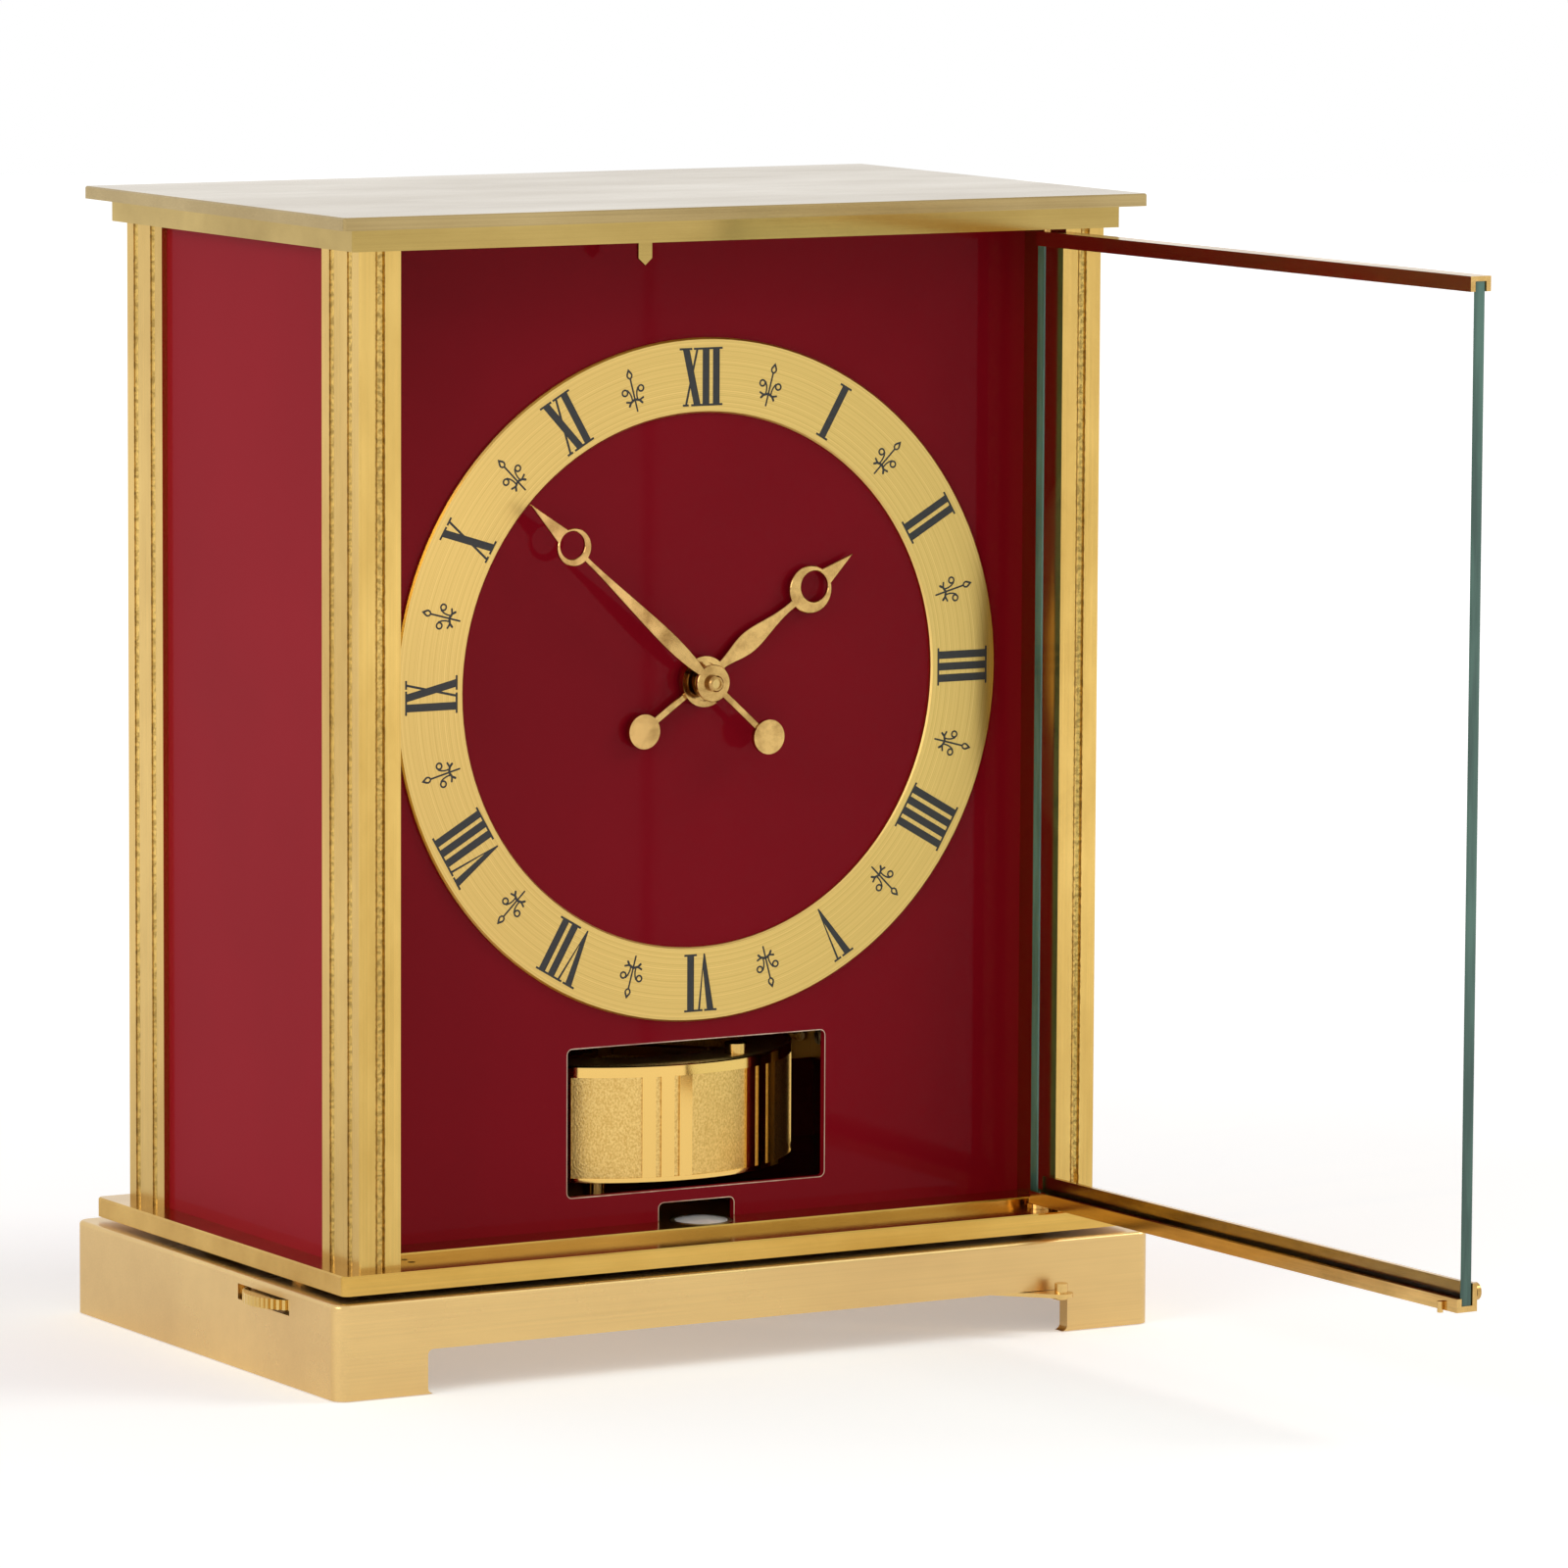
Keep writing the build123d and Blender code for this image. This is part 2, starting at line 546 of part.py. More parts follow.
def half_hour_mark(index):
    """A half-hour ornament: an open spearhead on a shaft, two curls and two forked barbs."""
    base = MARK_RADIUS
    with BuildSketch(front(RING_FRONT, 0, DIAL_Z, 15.0 + 30.0 * index)) as outline:
        for side in (-1, 1):
            with Locations((side * 1.9, base + 2.1)):
                Circle(0.8)
                Circle(0.42, mode=Mode.SUBTRACT)
        head = [(0, 6.75), (0.62, 5.75), (0.76, 5.25), (0.56, 4.75), (0, 4.3)]
        eye = [(0, 5.95), (0.28, 5.5), (0.36, 5.22), (0.26, 4.98), (0, 4.78)]
        for points, mode in ((head, Mode.ADD), (eye, Mode.SUBTRACT)):
            left = [(-x, r) for x, r in reversed(points[1:-1])]
            Polygon(*[(x, base + r) for x, r in points + left], align=None, mode=mode)
        line_stroke((0, base - 2.2), (0, base + 4.5), 0.38)
        for side in (-1, 1):
            with BuildLine():
                ThreePointArc(
                    (side * 1.3, base + 2.55),
                    (side * 0.78, base + 1.6),
                    (side * 0.62, base + 0.2),
                )
            trace(line_width=0.34)
            line_stroke((0, base + 0.25), (side * 1.0, base - 0.15), 0.5)
            line_stroke((side * 1.0, base - 0.15), (side * 1.5, base - 0.8), 0.5)
            line_stroke((side * 1.0, base - 0.15), (side * 1.95, base + 0.15), 0.42)
    return outline.sketch


hour_faces = [numeral(hour) for hour in range(12)]
mark_faces = [half_hour_mark(index) for index in range(12)]

# Chapter ring: satin brass with bevelled edges and the engraved figures
with BuildPart() as chapter_ring:
    with BuildSketch(front(DIAL_FRONT, 0, DIAL_Z)):
        Circle(RING_OUTER)
        Circle(RING_INNER, mode=Mode.SUBTRACT)
    extrude(amount=RING_THICK)
    chamfer(chapter_ring.faces().sort_by(Axis.Y)[0].edges(), 0.35)
    for face in hour_faces + mark_faces:
        extrude(face, amount=-ENGRAVING_DEPTH, mode=Mode.SUBTRACT)
save(chapter_ring, "chapter_ring")

# Black filling of the engraved figures, a little below the ring's face
for filling_name, faces in (("hour_numerals", hour_faces), ("half_hour_marks", mark_faces)):
    with BuildPart() as filling:
        for face in faces:
            floor = Pos(0, ENGRAVING_DEPTH, 0) * face
            extrude(floor, amount=ENGRAVING_DEPTH - FILLING_RECESS)
    save(filling, filling_name)

# Support columns: two square bars that carry the movement
with BuildPart() as support_columns:
    with Locations((-COLUMN_X, COLUMN_Y, STEP_TOP), (COLUMN_X, COLUMN_Y, STEP_TOP)):
        Box(COLUMN_SIZE, COLUMN_SIZE, COLUMN_TOP - STEP_TOP, align=UP)
    chamfer(support_columns.edges().filter_by(Axis.Z), 0.4)
    with Locations((-COLUMN_X, COLUMN_Y, STEP_TOP), (COLUMN_X, COLUMN_Y, STEP_TOP)):
        Cylinder(1.5, 10.0, align=UP, mode=Mode.SUBTRACT)
    for x in (-COLUMN_X, COLUMN_X):
        for z in (104.0, 168.0):
            with Locations(Plane(origin=(x, FRONT_PLATE_BACK, z), z_dir=(0, 1, 0))):
                Cylinder(1.25, 5.0, align=UP, mode=Mode.SUBTRACT)
save(support_columns, "support_columns")

# Movement plates: the train's bearings are holes in these two
PILLAR_POINTS = [(x, z) for x in (-38, 38) for z in (98, 172)]
DRUM_PILLAR_POINTS = [(x, DIAL_Z + z) for x in (-21, 21) for z in (-21, 21)]
MINUTE_STUD_AT = (MINUTE_STUD_X, DIAL_Z + MINUTE_STUD_Z)
with BuildPart() as movement_front_plate:
    with BuildSketch(front(FRONT_PLATE_BACK)):
        with Locations((0, (PLATE_BOTTOM + PLATE_TOP) / 2)):
            RectangleRounded(132.0, PLATE_TOP - PLATE_BOTTOM, 2.0)
        with Locations((0, DIAL_Z)):
            Circle(1.0 + RUN, mode=Mode.SUBTRACT)
        with Locations(MINUTE_STUD_AT, (0, ESCAPE_Z), (0, ANCHOR_Z), (BARREL_X, BARREL_Z)):
            Circle(0.8 + RUN, mode=Mode.SUBTRACT)
        with Locations(*[(x, z) for x in (-60, 60) for z in (104.0, 168.0)]):
            Circle(1.25, mode=Mode.SUBTRACT)
    extrude(amount=FRONT_PLATE_BACK - FRONT_PLATE_FRONT)
save(movement_front_plate, "movement_front_plate")

CHEEK_X = -9.2
with BuildPart() as movement_back_plate:
    with BuildSketch(front(BACK_PLATE_BACK)):
        with Locations((0, (PLATE_BOTTOM + PLATE_TOP) / 2)):
            RectangleRounded(88.0, PLATE_TOP - PLATE_BOTTOM, 2.0)
        with Locations((0, ESCAPE_Z), (0, ANCHOR_Z), (0, DIAL_Z)):
            Circle(0.8 + RUN, mode=Mode.SUBTRACT)
        with Locations((BARREL_X, BARREL_Z)):
            Circle(1.5 + RUN, mode=Mode.SUBTRACT)
        with Locations((-3, 174), (3, 174)):
            Circle(1.0, mode=Mode.SUBTRACT)
    extrude(amount=BACK_PLATE_BACK - BACK_PLATE_FRONT)
    with Locations((CHEEK_X, BACK_PLATE_BACK, PULLEY_Z)):
        Box(1.4, 9.5, 4.0, align=(Align.CENTER, Align.MIN, Align.CENTER))
    with Locations(Plane(origin=(CHEEK_X, PULLEY_Y, PULLEY_Z), z_dir=(1, 0, 0))):
        Cylinder(0.8, 4.9, align=UP)
save(movement_back_plate, "movement_back_plate")

with BuildPart() as movement_pillars:
    with BuildSketch(front(BACK_PLATE_FRONT)):
        with Locations(*PILLAR_POINTS):
            Circle(2.5)
    extrude(amount=BACK_PLATE_FRONT - FRONT_PLATE_BACK)
save(movement_pillars, "movement_pillars")

with BuildPart() as drum_pillars:
    with BuildSketch(front(DRUM_FRONT)):
        with Locations(*DRUM_PILLAR_POINTS):
            Circle(2.0)
    extrude(amount=DRUM_FRONT - BACK_PLATE_BACK)
save(drum_pillars, "drum_pillars")


def gear_outline(teeth, module, turn):
    """Corner points of a toothed wheel with a tooth at the angle turn."""
    pitch_radius = teeth * module / 2
    pitch_angle = 2 * pi / teeth
    profile = (
        (pitch_radius - 1.15 * module, -0.27),
        (pitch_radius, -0.215),
        (pitch_radius + 0.87 * module, -0.08),
        (pitch_radius + 0.87 * module, 0.08),
        (pitch_radius, 0.215),
        (pitch_radius - 1.15 * module, 0.27),
    )
    points = []
    for tooth in range(teeth):
        for radius, share in profile:
            a = radians(turn) + (tooth + share) * pitch_angle
            points.append((radius * cos(a), radius * sin(a)))
    return points


def gear(teeth, module, turn, back, thick, x, z):
    """A toothed disc whose back face is at y = back."""
    with BuildSketch(front(back, x, z)) as section:
        with BuildLine():
            Polyline(*gear_outline(teeth, module, turn), close=True)
        make_face()
    extrude(section.sketch, amount=thick)


def rod(radius, back, front_end, x, z):
    """A round rod along Y from its back end to its front end."""
    with BuildSketch(front(back, x, z)) as section:
        Circle(radius)
    extrude(section.sketch, amount=back - front_end)


def spokes(count, hub_radius, rim_radius, width, back, thick, x, z):
    """Cut the openings between a wheel's spokes."""
    with BuildSketch(front(back, x, z)) as openings:
        Circle(rim_radius)
        Circle(hub_radius, mode=Mode.SUBTRACT)
        for k in range(count):
            with Locations(Location((0, 0), 180 * k / count)):
                Rectangle(2.2 * rim_radius, width, mode=Mode.SUBTRACT)
    extrude(openings.sketch, amount=thick, mode=Mode.SUBTRACT)


def angle_between(x0, z0, x1, z1):
    """Direction from one arbor to another, as seen from the front."""
    return degrees(atan2(z1 - z0, x1 - x0))


TO_MINUTE_STUD = angle_between(0, 0, MINUTE_STUD_X, MINUTE_STUD_Z)
TO_BARREL = angle_between(0, DIAL_Z, BARREL_X, BARREL_Z)
TO_ESCAPE = -90.0

# Centre wheel with its arbor, which carries the cannon pinion, the minute hand and the nut
with BuildPart() as centre_wheel:
    rod(1.0, BACK_PLATE_FRONT, -43.0, 0, DIAL_Z)
    rod(0.8, BACK_PLATE_BACK, BACK_PLATE_FRONT, 0, DIAL_Z)
    rod(2.2, -8.0, -16.0, 0, DIAL_Z)
    gear(72, MODULE, TO_ESCAPE, -10.5, 1.5, 0, DIAL_Z)
    spokes(2, 5.0, 14.5, 2.6, -10.5, 1.5, 0, DIAL_Z)
    gear(12, MODULE, TO_BARREL, -17.6, 2.4, 0, DIAL_Z)
save(centre_wheel, "centre_wheel")

with BuildPart() as cannon_pinion:
    rod(1.6, -26.5, MINUTE_HAND_BACK, 0, DIAL_Z)
    gear(12, MODULE, TO_MINUTE_STUD, -25.5, 2.5, 0, DIAL_Z)
    with BuildSketch(front(-25.0, 0, DIAL_Z)):
        Circle(1.0)
    extrude(amount=20.0, mode=Mode.SUBTRACT)
save(cannon_pinion, "cannon_pinion")

# Hour wheel: its pipe turns on the cannon pinion's tube and carries the hour hand
with BuildPart() as hour_wheel:
    rod(2.4, -29.0, -37.8, 0, DIAL_Z)
    gear(40, HOUR_MODULE, TO_MINUTE_STUD, -30.0, 1.5, 0, DIAL_Z)
    spokes(2, 4.2, 7.4, 2.0, -30.0, 1.5, 0, DIAL_Z)
    with BuildSketch(front(-28.5, 0, DIAL_Z)):
        Circle(1.6 + 0.06)
    extrude(amount=12.0, mode=Mode.SUBTRACT)
save(hour_wheel, "hour_wheel")

# Minute wheel and its pinion on a stud in the front plate
with BuildPart() as minute_wheel:
    stud_x, stud_z = MINUTE_STUD_AT
    rod(0.8, -21.0, -31.7, stud_x, stud_z)
    rod(1.4, -24.55, -26.0, stud_x, stud_z)
    gear(36, MODULE, TO_MINUTE_STUD + 180 + 180 / 36, -26.0, 2.0, stud_x, stud_z)
    gear(10, HOUR_MODULE, TO_MINUTE_STUD + 180 + 180 / 10, -28.0, 3.7, stud_x, stud_z)
save(minute_wheel, "minute_wheel")

# Mainspring barrel: a toothed disc with a drum, which turns on the winding arbor
with BuildPart() as mainspring_barrel:
    gear(72, MODULE, TO_BARREL + 180 + 180 / 72, -18.0, 1.5, BARREL_X, BARREL_Z)
    rod(15.5, -13.0, -18.0, BARREL_X, BARREL_Z)
    chamfer(mainspring_barrel.faces().sort_by(Axis.Y)[-1].edges(), 0.4)
    with BuildSketch(front(-10.0, BARREL_X, BARREL_Z)):
        Circle(1.5 + RUN)
    extrude(amount=15.0, mode=Mode.SUBTRACT)
save(mainspring_barrel, "mainspring_barrel")

# Winding drum and arbor: the chain pulls the drum round to wind the barrel's spring
with BuildPart() as winding_drum:
    rod(WINDING_RADIUS, 2.0, -3.0, BARREL_X, BARREL_Z)
    rod(5.6, 2.4, 2.0, BARREL_X, BARREL_Z)
    rod(5.6, -3.0, -3.4, BARREL_X, BARREL_Z)
    rod(1.5, -3.4, -21.5, BARREL_X, BARREL_Z)
    rod(0.8, -21.5, FRONT_PLATE_FRONT, BARREL_X, BARREL_Z)
save(winding_drum, "winding_drum")

# Escape wheel: fifteen pointed teeth, driven through its pinion by the centre wheel
ESCAPE_TIP = 11.0
ESCAPE_ROOT = 8.6
with BuildPart() as escape_wheel:
    rod(0.8, BACK_PLATE_BACK, FRONT_PLATE_FRONT, 0, ESCAPE_Z)
    rod(1.6, -7.5, -12.4, 0, ESCAPE_Z)
    gear(18, MODULE, TO_ESCAPE + 180 + 180 / 18, -10.1, 2.3, 0, ESCAPE_Z)
    tooth_points = []
    for tooth in range(15):
        for radius, share in ((ESCAPE_ROOT, 0.0), (ESCAPE_TIP, 0.42), (ESCAPE_TIP, 0.5), (ESCAPE_ROOT, 0.62)):
            a = 2 * pi * (tooth + share) / 15
            tooth_points.append((radius * cos(a), radius * sin(a)))
    with BuildSketch(front(-8.5, 0, ESCAPE_Z)):
        with BuildLine():
            Polyline(*tooth_points, close=True)
        make_face()
    extrude(amount=1.0)
    spokes(2, 3.2, 7.0, 1.6, -8.5, 1.0, 0, ESCAPE_Z)
save(escape_wheel, "escape_wheel")

# Anchor: two pallets beside the escape wheel and a fork down to the pendulum's pin
with BuildPart() as anchor_fork:
    rod(0.8, -2.0, FRONT_PLATE_FRONT, 0, ANCHOR_Z)
    with BuildSketch(front(-8.5, 0, ANCHOR_Z)):
        Circle(2.0)
        for side in (-1, 1):
            Polygon((side * 0.6, 1.4), (side * 1.6, -0.6), (side * 10.6, 5.0), (side * 10.0, 8.6),
                    (side * 8.5, 7.2), (side * 8.9, 5.6), align=None)
    extrude(amount=1.0)
    with BuildSketch(front(-2.5, 0, ANCHOR_Z)):
        Circle(2.0)
        Polygon((-1.0, 0), (1.0, 0), (0.7, -25.6), (-0.7, -25.6), align=None)
    extrude(amount=1.0)
    for side in (-1, 1):
        with Locations((side * 1.0, -3.0, 73.6)):
            Box(0.9, 7.2, 1.8, align=(Align.CENTER, Align.MIN, Align.CENTER))
    with Locations((0, -3.0, 73.6)):
        Box(2.9, 1.0, 1.8, align=(Align.CENTER, Align.CENTER, Align.CENTER))
save(anchor_fork, "anchor_fork")

# Torsion suspension: head, guard tube, and the thin wire with its clamp
with BuildPart() as suspension_head:
    with Locations((0, BACK_PLATE_BACK, 166.0)):
        Box(10.0, 2.0, 20.0, align=(Align.CENTER, Align.MIN, Align.MIN))
    with Locations((0, BACK_PLATE_BACK, 182.0)):
        Box(10.0, 16.0, 4.0, align=(Align.CENTER, Align.MIN, Align.MIN))
    with Locations((0, PENDULUM_Y, 180.0)):
        Cylinder(0.35, 8.0, align=UP, mode=Mode.SUBTRACT)
    for x in (-3, 3):
        with Locations(Plane(origin=(x, -2.0, 174.0), z_dir=(0, -1, 0))):
            Cylinder(1.0, 4.0, align=UP)
            Cylinder(1.8, 1.0, align=DOWN)
save(suspension_head, "suspension_head")

with BuildPart() as suspension_tube:
    with Locations((0, PENDULUM_Y, 84.0)):
        Cylinder(2.2, 98.0, align=UP)
        Cylinder(1.6, 98.0, align=UP, mode=Mode.SUBTRACT)
save(suspension_tube, "suspension_tube")

with BuildPart() as suspension_wire:
    with Locations((0, PENDULUM_Y, 82.0)):
        Cylinder(0.25, 104.6, align=UP)
    with Locations((0, PENDULUM_Y, 186.05)):
        Cylinder(1.5, 2.2, align=UP)
save(suspension_wire, "suspension_wire")

# Pendulum ring: a turned band with lips, groups of flat bars and an inward flange on top
LIP_TOP = 34.7
RIM_BOTTOM = 55.5
BAND_RADIUS = PENDULUM_OUTER - 0.4
FLANGE_INNER = 31.0
FLANGE_BOTTOM = 56.7
BAR_ANGLES = [
    BAR_GROUP_ANGLE + 360.0 * group / BAR_GROUPS + BAR_PITCH * (bar - 1)
    for group in range(BAR_GROUPS)
    for bar in range(3)
]
with BuildPart() as pendulum_ring:
    with BuildSketch(Plane.XZ.offset(-PENDULUM_Y)):
        Polygon(
            (PENDULUM_INNER, PENDULUM_BOTTOM),
            (PENDULUM_OUTER, PENDULUM_BOTTOM),
            (PENDULUM_OUTER, LIP_TOP),
            (BAND_RADIUS, LIP_TOP),
            (BAND_RADIUS, RIM_BOTTOM),
            (PENDULUM_OUTER, RIM_BOTTOM),
            (PENDULUM_OUTER, PENDULUM_TOP - 0.6),
            (PENDULUM_OUTER - 0.6, PENDULUM_TOP),
            (FLANGE_INNER, PENDULUM_TOP),
            (FLANGE_INNER, FLANGE_BOTTOM),
            (PENDULUM_INNER, FLANGE_BOTTOM),
            align=None,
        )
    revolve(axis=Axis((0, PENDULUM_Y, 0), (0, 0, 1)))
    with BuildSketch(level(LIP_TOP - 0.2)):
        for bar_angle in BAR_ANGLES:
            a = radians(bar_angle)
            reach = PENDULUM_OUTER - 0.65
            centre = (reach * sin(a), PENDULUM_Y - reach * cos(a))
            with Locations(Location(centre, bar_angle)):
                Rectangle(BAR_WIDTH, 1.2)
    extrude(amount=RIM_BOTTOM - LIP_TOP + 0.4)
save(pendulum_ring, "pendulum_ring")

# Pendulum carrier, weights and arbor
with BuildPart() as pendulum_carrier:
    with BuildSketch(level(54.7)):
        with Locations((0, PENDULUM_Y)):
            Circle(PENDULUM_INNER - RUN)
            Circle(PENDULUM_INNER - 3.0, mode=Mode.SUBTRACT)
            Circle(5.0)
            for k in range(2):
                with Locations(Location((0, 0), 45 + 90 * k)):
                    Rectangle(2 * PENDULUM_INNER - 2.0, 4.0)
            Circle(1.5, mode=Mode.SUBTRACT)
    extrude(amount=FLANGE_BOTTOM - 54.7)
save(pendulum_carrier, "pendulum_carrier")

WEIGHT_ANGLE = 21.7
WEIGHT_RADIUS = 37.5
with BuildPart() as pendulum_weights:
    for k in range(4):
        a = radians(WEIGHT_ANGLE + 90 * k)
        with Locations((WEIGHT_RADIUS * sin(a), PENDULUM_Y - WEIGHT_RADIUS * cos(a), PENDULUM_TOP)):
            Cylinder(2.3, 2.4, align=UP)
    chamfer(pendulum_weights.faces().group_by(Axis.Z)[-1].edges(), 0.25)
save(pendulum_weights, "pendulum_weights")

with BuildPart() as pendulum_arbor:
    with Locations((0, PENDULUM_Y, 46.0)):
        Cylinder(1.5, 36.0, align=UP)
    with Locations((0, PENDULUM_Y, 74.9)):
        Cylinder(2.9, 1.2, align=UP)
    with Locations((0, PENDULUM_Y - 2.4, 72.7)):
        Cylinder(0.4, 2.4, align=UP)
save(pendulum_arbor, "pendulum_arbor")

# Bellows drum: a sealed brass can with an opening in front for the push plate
with BuildPart() as bellows_drum:
    rod(DRUM_RADIUS, DRUM_BACK, DRUM_FRONT, 0, DIAL_Z)
    fillet(bellows_drum.faces().sort_by(Axis.Y)[-1].edges(), 2.0)
    drum_cut = front(DRUM_BACK - 1.0, 0, DIAL_Z)
    with BuildSketch(drum_cut):
        Circle(DRUM_RADIUS - 1.0)
    extrude(amount=DRUM_BACK - DRUM_FRONT - 2.0, mode=Mode.SUBTRACT)
    with BuildSketch(drum_cut):
        Circle(20.0)
    extrude(amount=DRUM_BACK, mode=Mode.SUBTRACT)
save(bellows_drum, "bellows_drum")

# Bellows capsule: a corrugated metal bag that swells with warmth
CAPSULE_FRONT = 22.4
CAPSULE_FOLDS = 7
FOLD_PITCH = (DRUM_BACK - 1.0 - CAPSULE_FRONT) / CAPSULE_FOLDS
with BuildPart() as bellows_capsule:
    fold_points = [(0, CAPSULE_FRONT)]
    for fold in range(CAPSULE_FOLDS):
        start = CAPSULE_FRONT + fold * FOLD_PITCH
        fold_points += [(25.0, start), (28.0, start + FOLD_PITCH / 2)]
    fold_points += [(25.0, DRUM_BACK - 1.0), (0, DRUM_BACK - 1.0)]
    with BuildSketch(Plane.XY.offset(DIAL_Z)):
        Polygon(*fold_points, align=None)
    revolve(axis=Axis((0, 0, DIAL_Z), (0, 1, 0)))
save(bellows_capsule, "bellows_capsule")

# Push plate with its hook, held against the capsule by the coil spring
with BuildPart() as push_plate:
    rod(24.0, 22.0, 20.4, 0, DIAL_Z)
    rod(0.9, 20.4, 14.0, CHAIN_X, PULLEY_Z - PULLEY_RADIUS - CHAIN_RADIUS)
save(push_plate, "push_plate")

SPRING_RADIUS = 22.0
SPRING_WIRE = 0.35
SPRING_PITCH = 1.9
SPRING_START = 14.45
SPRING_LENGTH = 5.5
with BuildPart() as bellows_spring:
    spring_end = (0, SPRING_START, DIAL_Z)
    with BuildLine() as spring_path:
        Helix(SPRING_PITCH, SPRING_LENGTH, SPRING_RADIUS, center=spring_end, direction=(0, 1, 0))
    with BuildSketch(Plane(origin=spring_path.line @ 0, z_dir=spring_path.line % 0)):
        Circle(SPRING_WIRE)
    sweep(path=spring_path.line, is_frenet=True)
save(bellows_spring, "bellows_spring")

# Guide pulley and winding chain, from the push plate round the pulley up to the winding drum
with BuildPart() as guide_pulley:
    with BuildSketch(Plane(origin=(CHAIN_X, PULLEY_Y, PULLEY_Z), x_dir=(0, 1, 0), z_dir=(1, 0, 0))):
        Circle(4.2)
        Circle(0.8 + RUN, mode=Mode.SUBTRACT)
    extrude(amount=1.3, both=True)
    with BuildSketch(Plane(origin=(CHAIN_X, PULLEY_Y, PULLEY_Z), x_dir=(0, 1, 0), z_dir=(1, 0, 0))):
        Circle(5.0)
        Circle(PULLEY_RADIUS, mode=Mode.SUBTRACT)
    extrude(amount=0.8, both=True, mode=Mode.SUBTRACT)
save(guide_pulley, "guide_pulley")

CHAIN_PATH_RADIUS = PULLEY_RADIUS + CHAIN_RADIUS + 0.05
with BuildPart() as winding_chain:
    pulley_plane = Plane(origin=(CHAIN_X, PULLEY_Y, PULLEY_Z), x_dir=(0, 1, 0), z_dir=(1, 0, 0))
    with BuildLine(pulley_plane) as chain_path:
        Line((14.0 - PULLEY_Y, -CHAIN_PATH_RADIUS), (0, -CHAIN_PATH_RADIUS))
        RadiusArc((0, -CHAIN_PATH_RADIUS), (-CHAIN_PATH_RADIUS, 0), CHAIN_PATH_RADIUS)
        Line((-CHAIN_PATH_RADIUS, 0), (-CHAIN_PATH_RADIUS, BARREL_Z - PULLEY_Z))
    with BuildSketch(Plane(origin=chain_path.line @ 0, z_dir=chain_path.line % 0)):
        Circle(CHAIN_RADIUS)
    sweep(path=chain_path.line)
save(winding_chain, "winding_chain")


# Hands: flat gilt blades with a ring, an arrow head and a counterweight disc
def hand_blade(widths, ring_at, ring_radius, hole_at, hole_radius, tip, base_half, tail_at, tail_half):
    """A hand's outline along local +Y, without its hub."""
    right = [(half, radius) for radius, half in widths]
    left = [(-half, radius) for half, radius in reversed(right)]
    with BuildLine() as blade:
        Spline(*right)
        Line(right[-1], left[0])
        Spline(*left)
        Line(left[-1], right[0])
    make_face(blade.line.edges())
    with Locations((0, ring_at)):
        Circle(ring_radius)
    base = ring_at + sqrt(ring_radius**2 - base_half**2) - 0.15
    Polygon((-base_half, base), (0.0, tip), (base_half, base), align=None)
    with Locations((0, -tail_at / 2)):
        Rectangle(2 * tail_half, tail_at)
    with Locations((0, -tail_at)):
        Circle(3.55)
    with Locations((0, hole_at)):
        Circle(hole_radius, mode=Mode.SUBTRACT)


HOUR_WIDTHS = ((3.5, 0.8), (6.5, 1.0), (12.0, 2.2), (19.6, 1.3), (26.2, 0.8))
MINUTE_WIDTHS = ((2.5, 0.55), (13.0, 1.6), (21.6, 1.32), (29.3, 0.88), (36.7, 0.52), (40.0, 0.5))
with BuildPart() as hour_hand:
    with BuildSketch(front(HOUR_HAND_BACK, 0, DIAL_Z, HOUR_ANGLE)):
        hand_blade(HOUR_WIDTHS, 30.8, 4.9, 31.85, 3.2, 42.9, 1.83, 16.8, 0.7)
        Circle(5.2)
        Circle(2.4, mode=Mode.SUBTRACT)
    extrude(amount=HAND_THICK)
    hour_rims = hour_hand.faces().sort_by(Axis.Y)[0].edges()
    chamfer(hour_rims, 0.14)
    with BuildSketch(front(HOUR_HAND_BACK - HAND_THICK + 0.2, 0, DIAL_Z)):
        Circle(5.2)
        Circle(4.0, mode=Mode.SUBTRACT)
    extrude(amount=1.0)
    with BuildSketch(front(HOUR_HAND_BACK - 0.4, 0, DIAL_Z, HOUR_ANGLE)):
        with Locations((0, -16.8)):
            Circle(3.55)
    extrude(amount=0.8)
save(hour_hand, "hour_hand")

with BuildPart() as minute_hand:
    with BuildSketch(front(MINUTE_HAND_BACK, 0, DIAL_Z, MINUTE_ANGLE)):
        hand_blade(MINUTE_WIDTHS, 43.5, 3.85, 44.1, 2.85, 57.0, 1.7, 17.3, 0.65)
        Circle(3.8)
        Circle(1.0, mode=Mode.SUBTRACT)
    extrude(amount=HAND_THICK)
    chamfer(minute_hand.faces().sort_by(Axis.Y)[0].edges(), 0.14)
    with BuildSketch(front(MINUTE_HAND_BACK - 0.4, 0, DIAL_Z, MINUTE_ANGLE)):
        with Locations((0, -17.3)):
            Circle(3.55)
    extrude(amount=0.8)
    with BuildSketch(front(MINUTE_HAND_BACK + 2.4, 0, DIAL_Z)):
        Circle(3.2)
        Circle(1.6, mode=Mode.SUBTRACT)
    extrude(amount=2.4)
save(minute_hand, "minute_hand")

with BuildPart() as hand_nut:
    rod(1.7, MINUTE_HAND_BACK - HAND_THICK, -43.3, 0, DIAL_Z)
    chamfer(hand_nut.faces().sort_by(Axis.Y)[0].edges(), 0.3)
    with BuildSketch(front(-41.5, 0, DIAL_Z)):
        Circle(1.0)
    extrude(amount=3.0, mode=Mode.SUBTRACT)
save(hand_nut, "hand_nut")


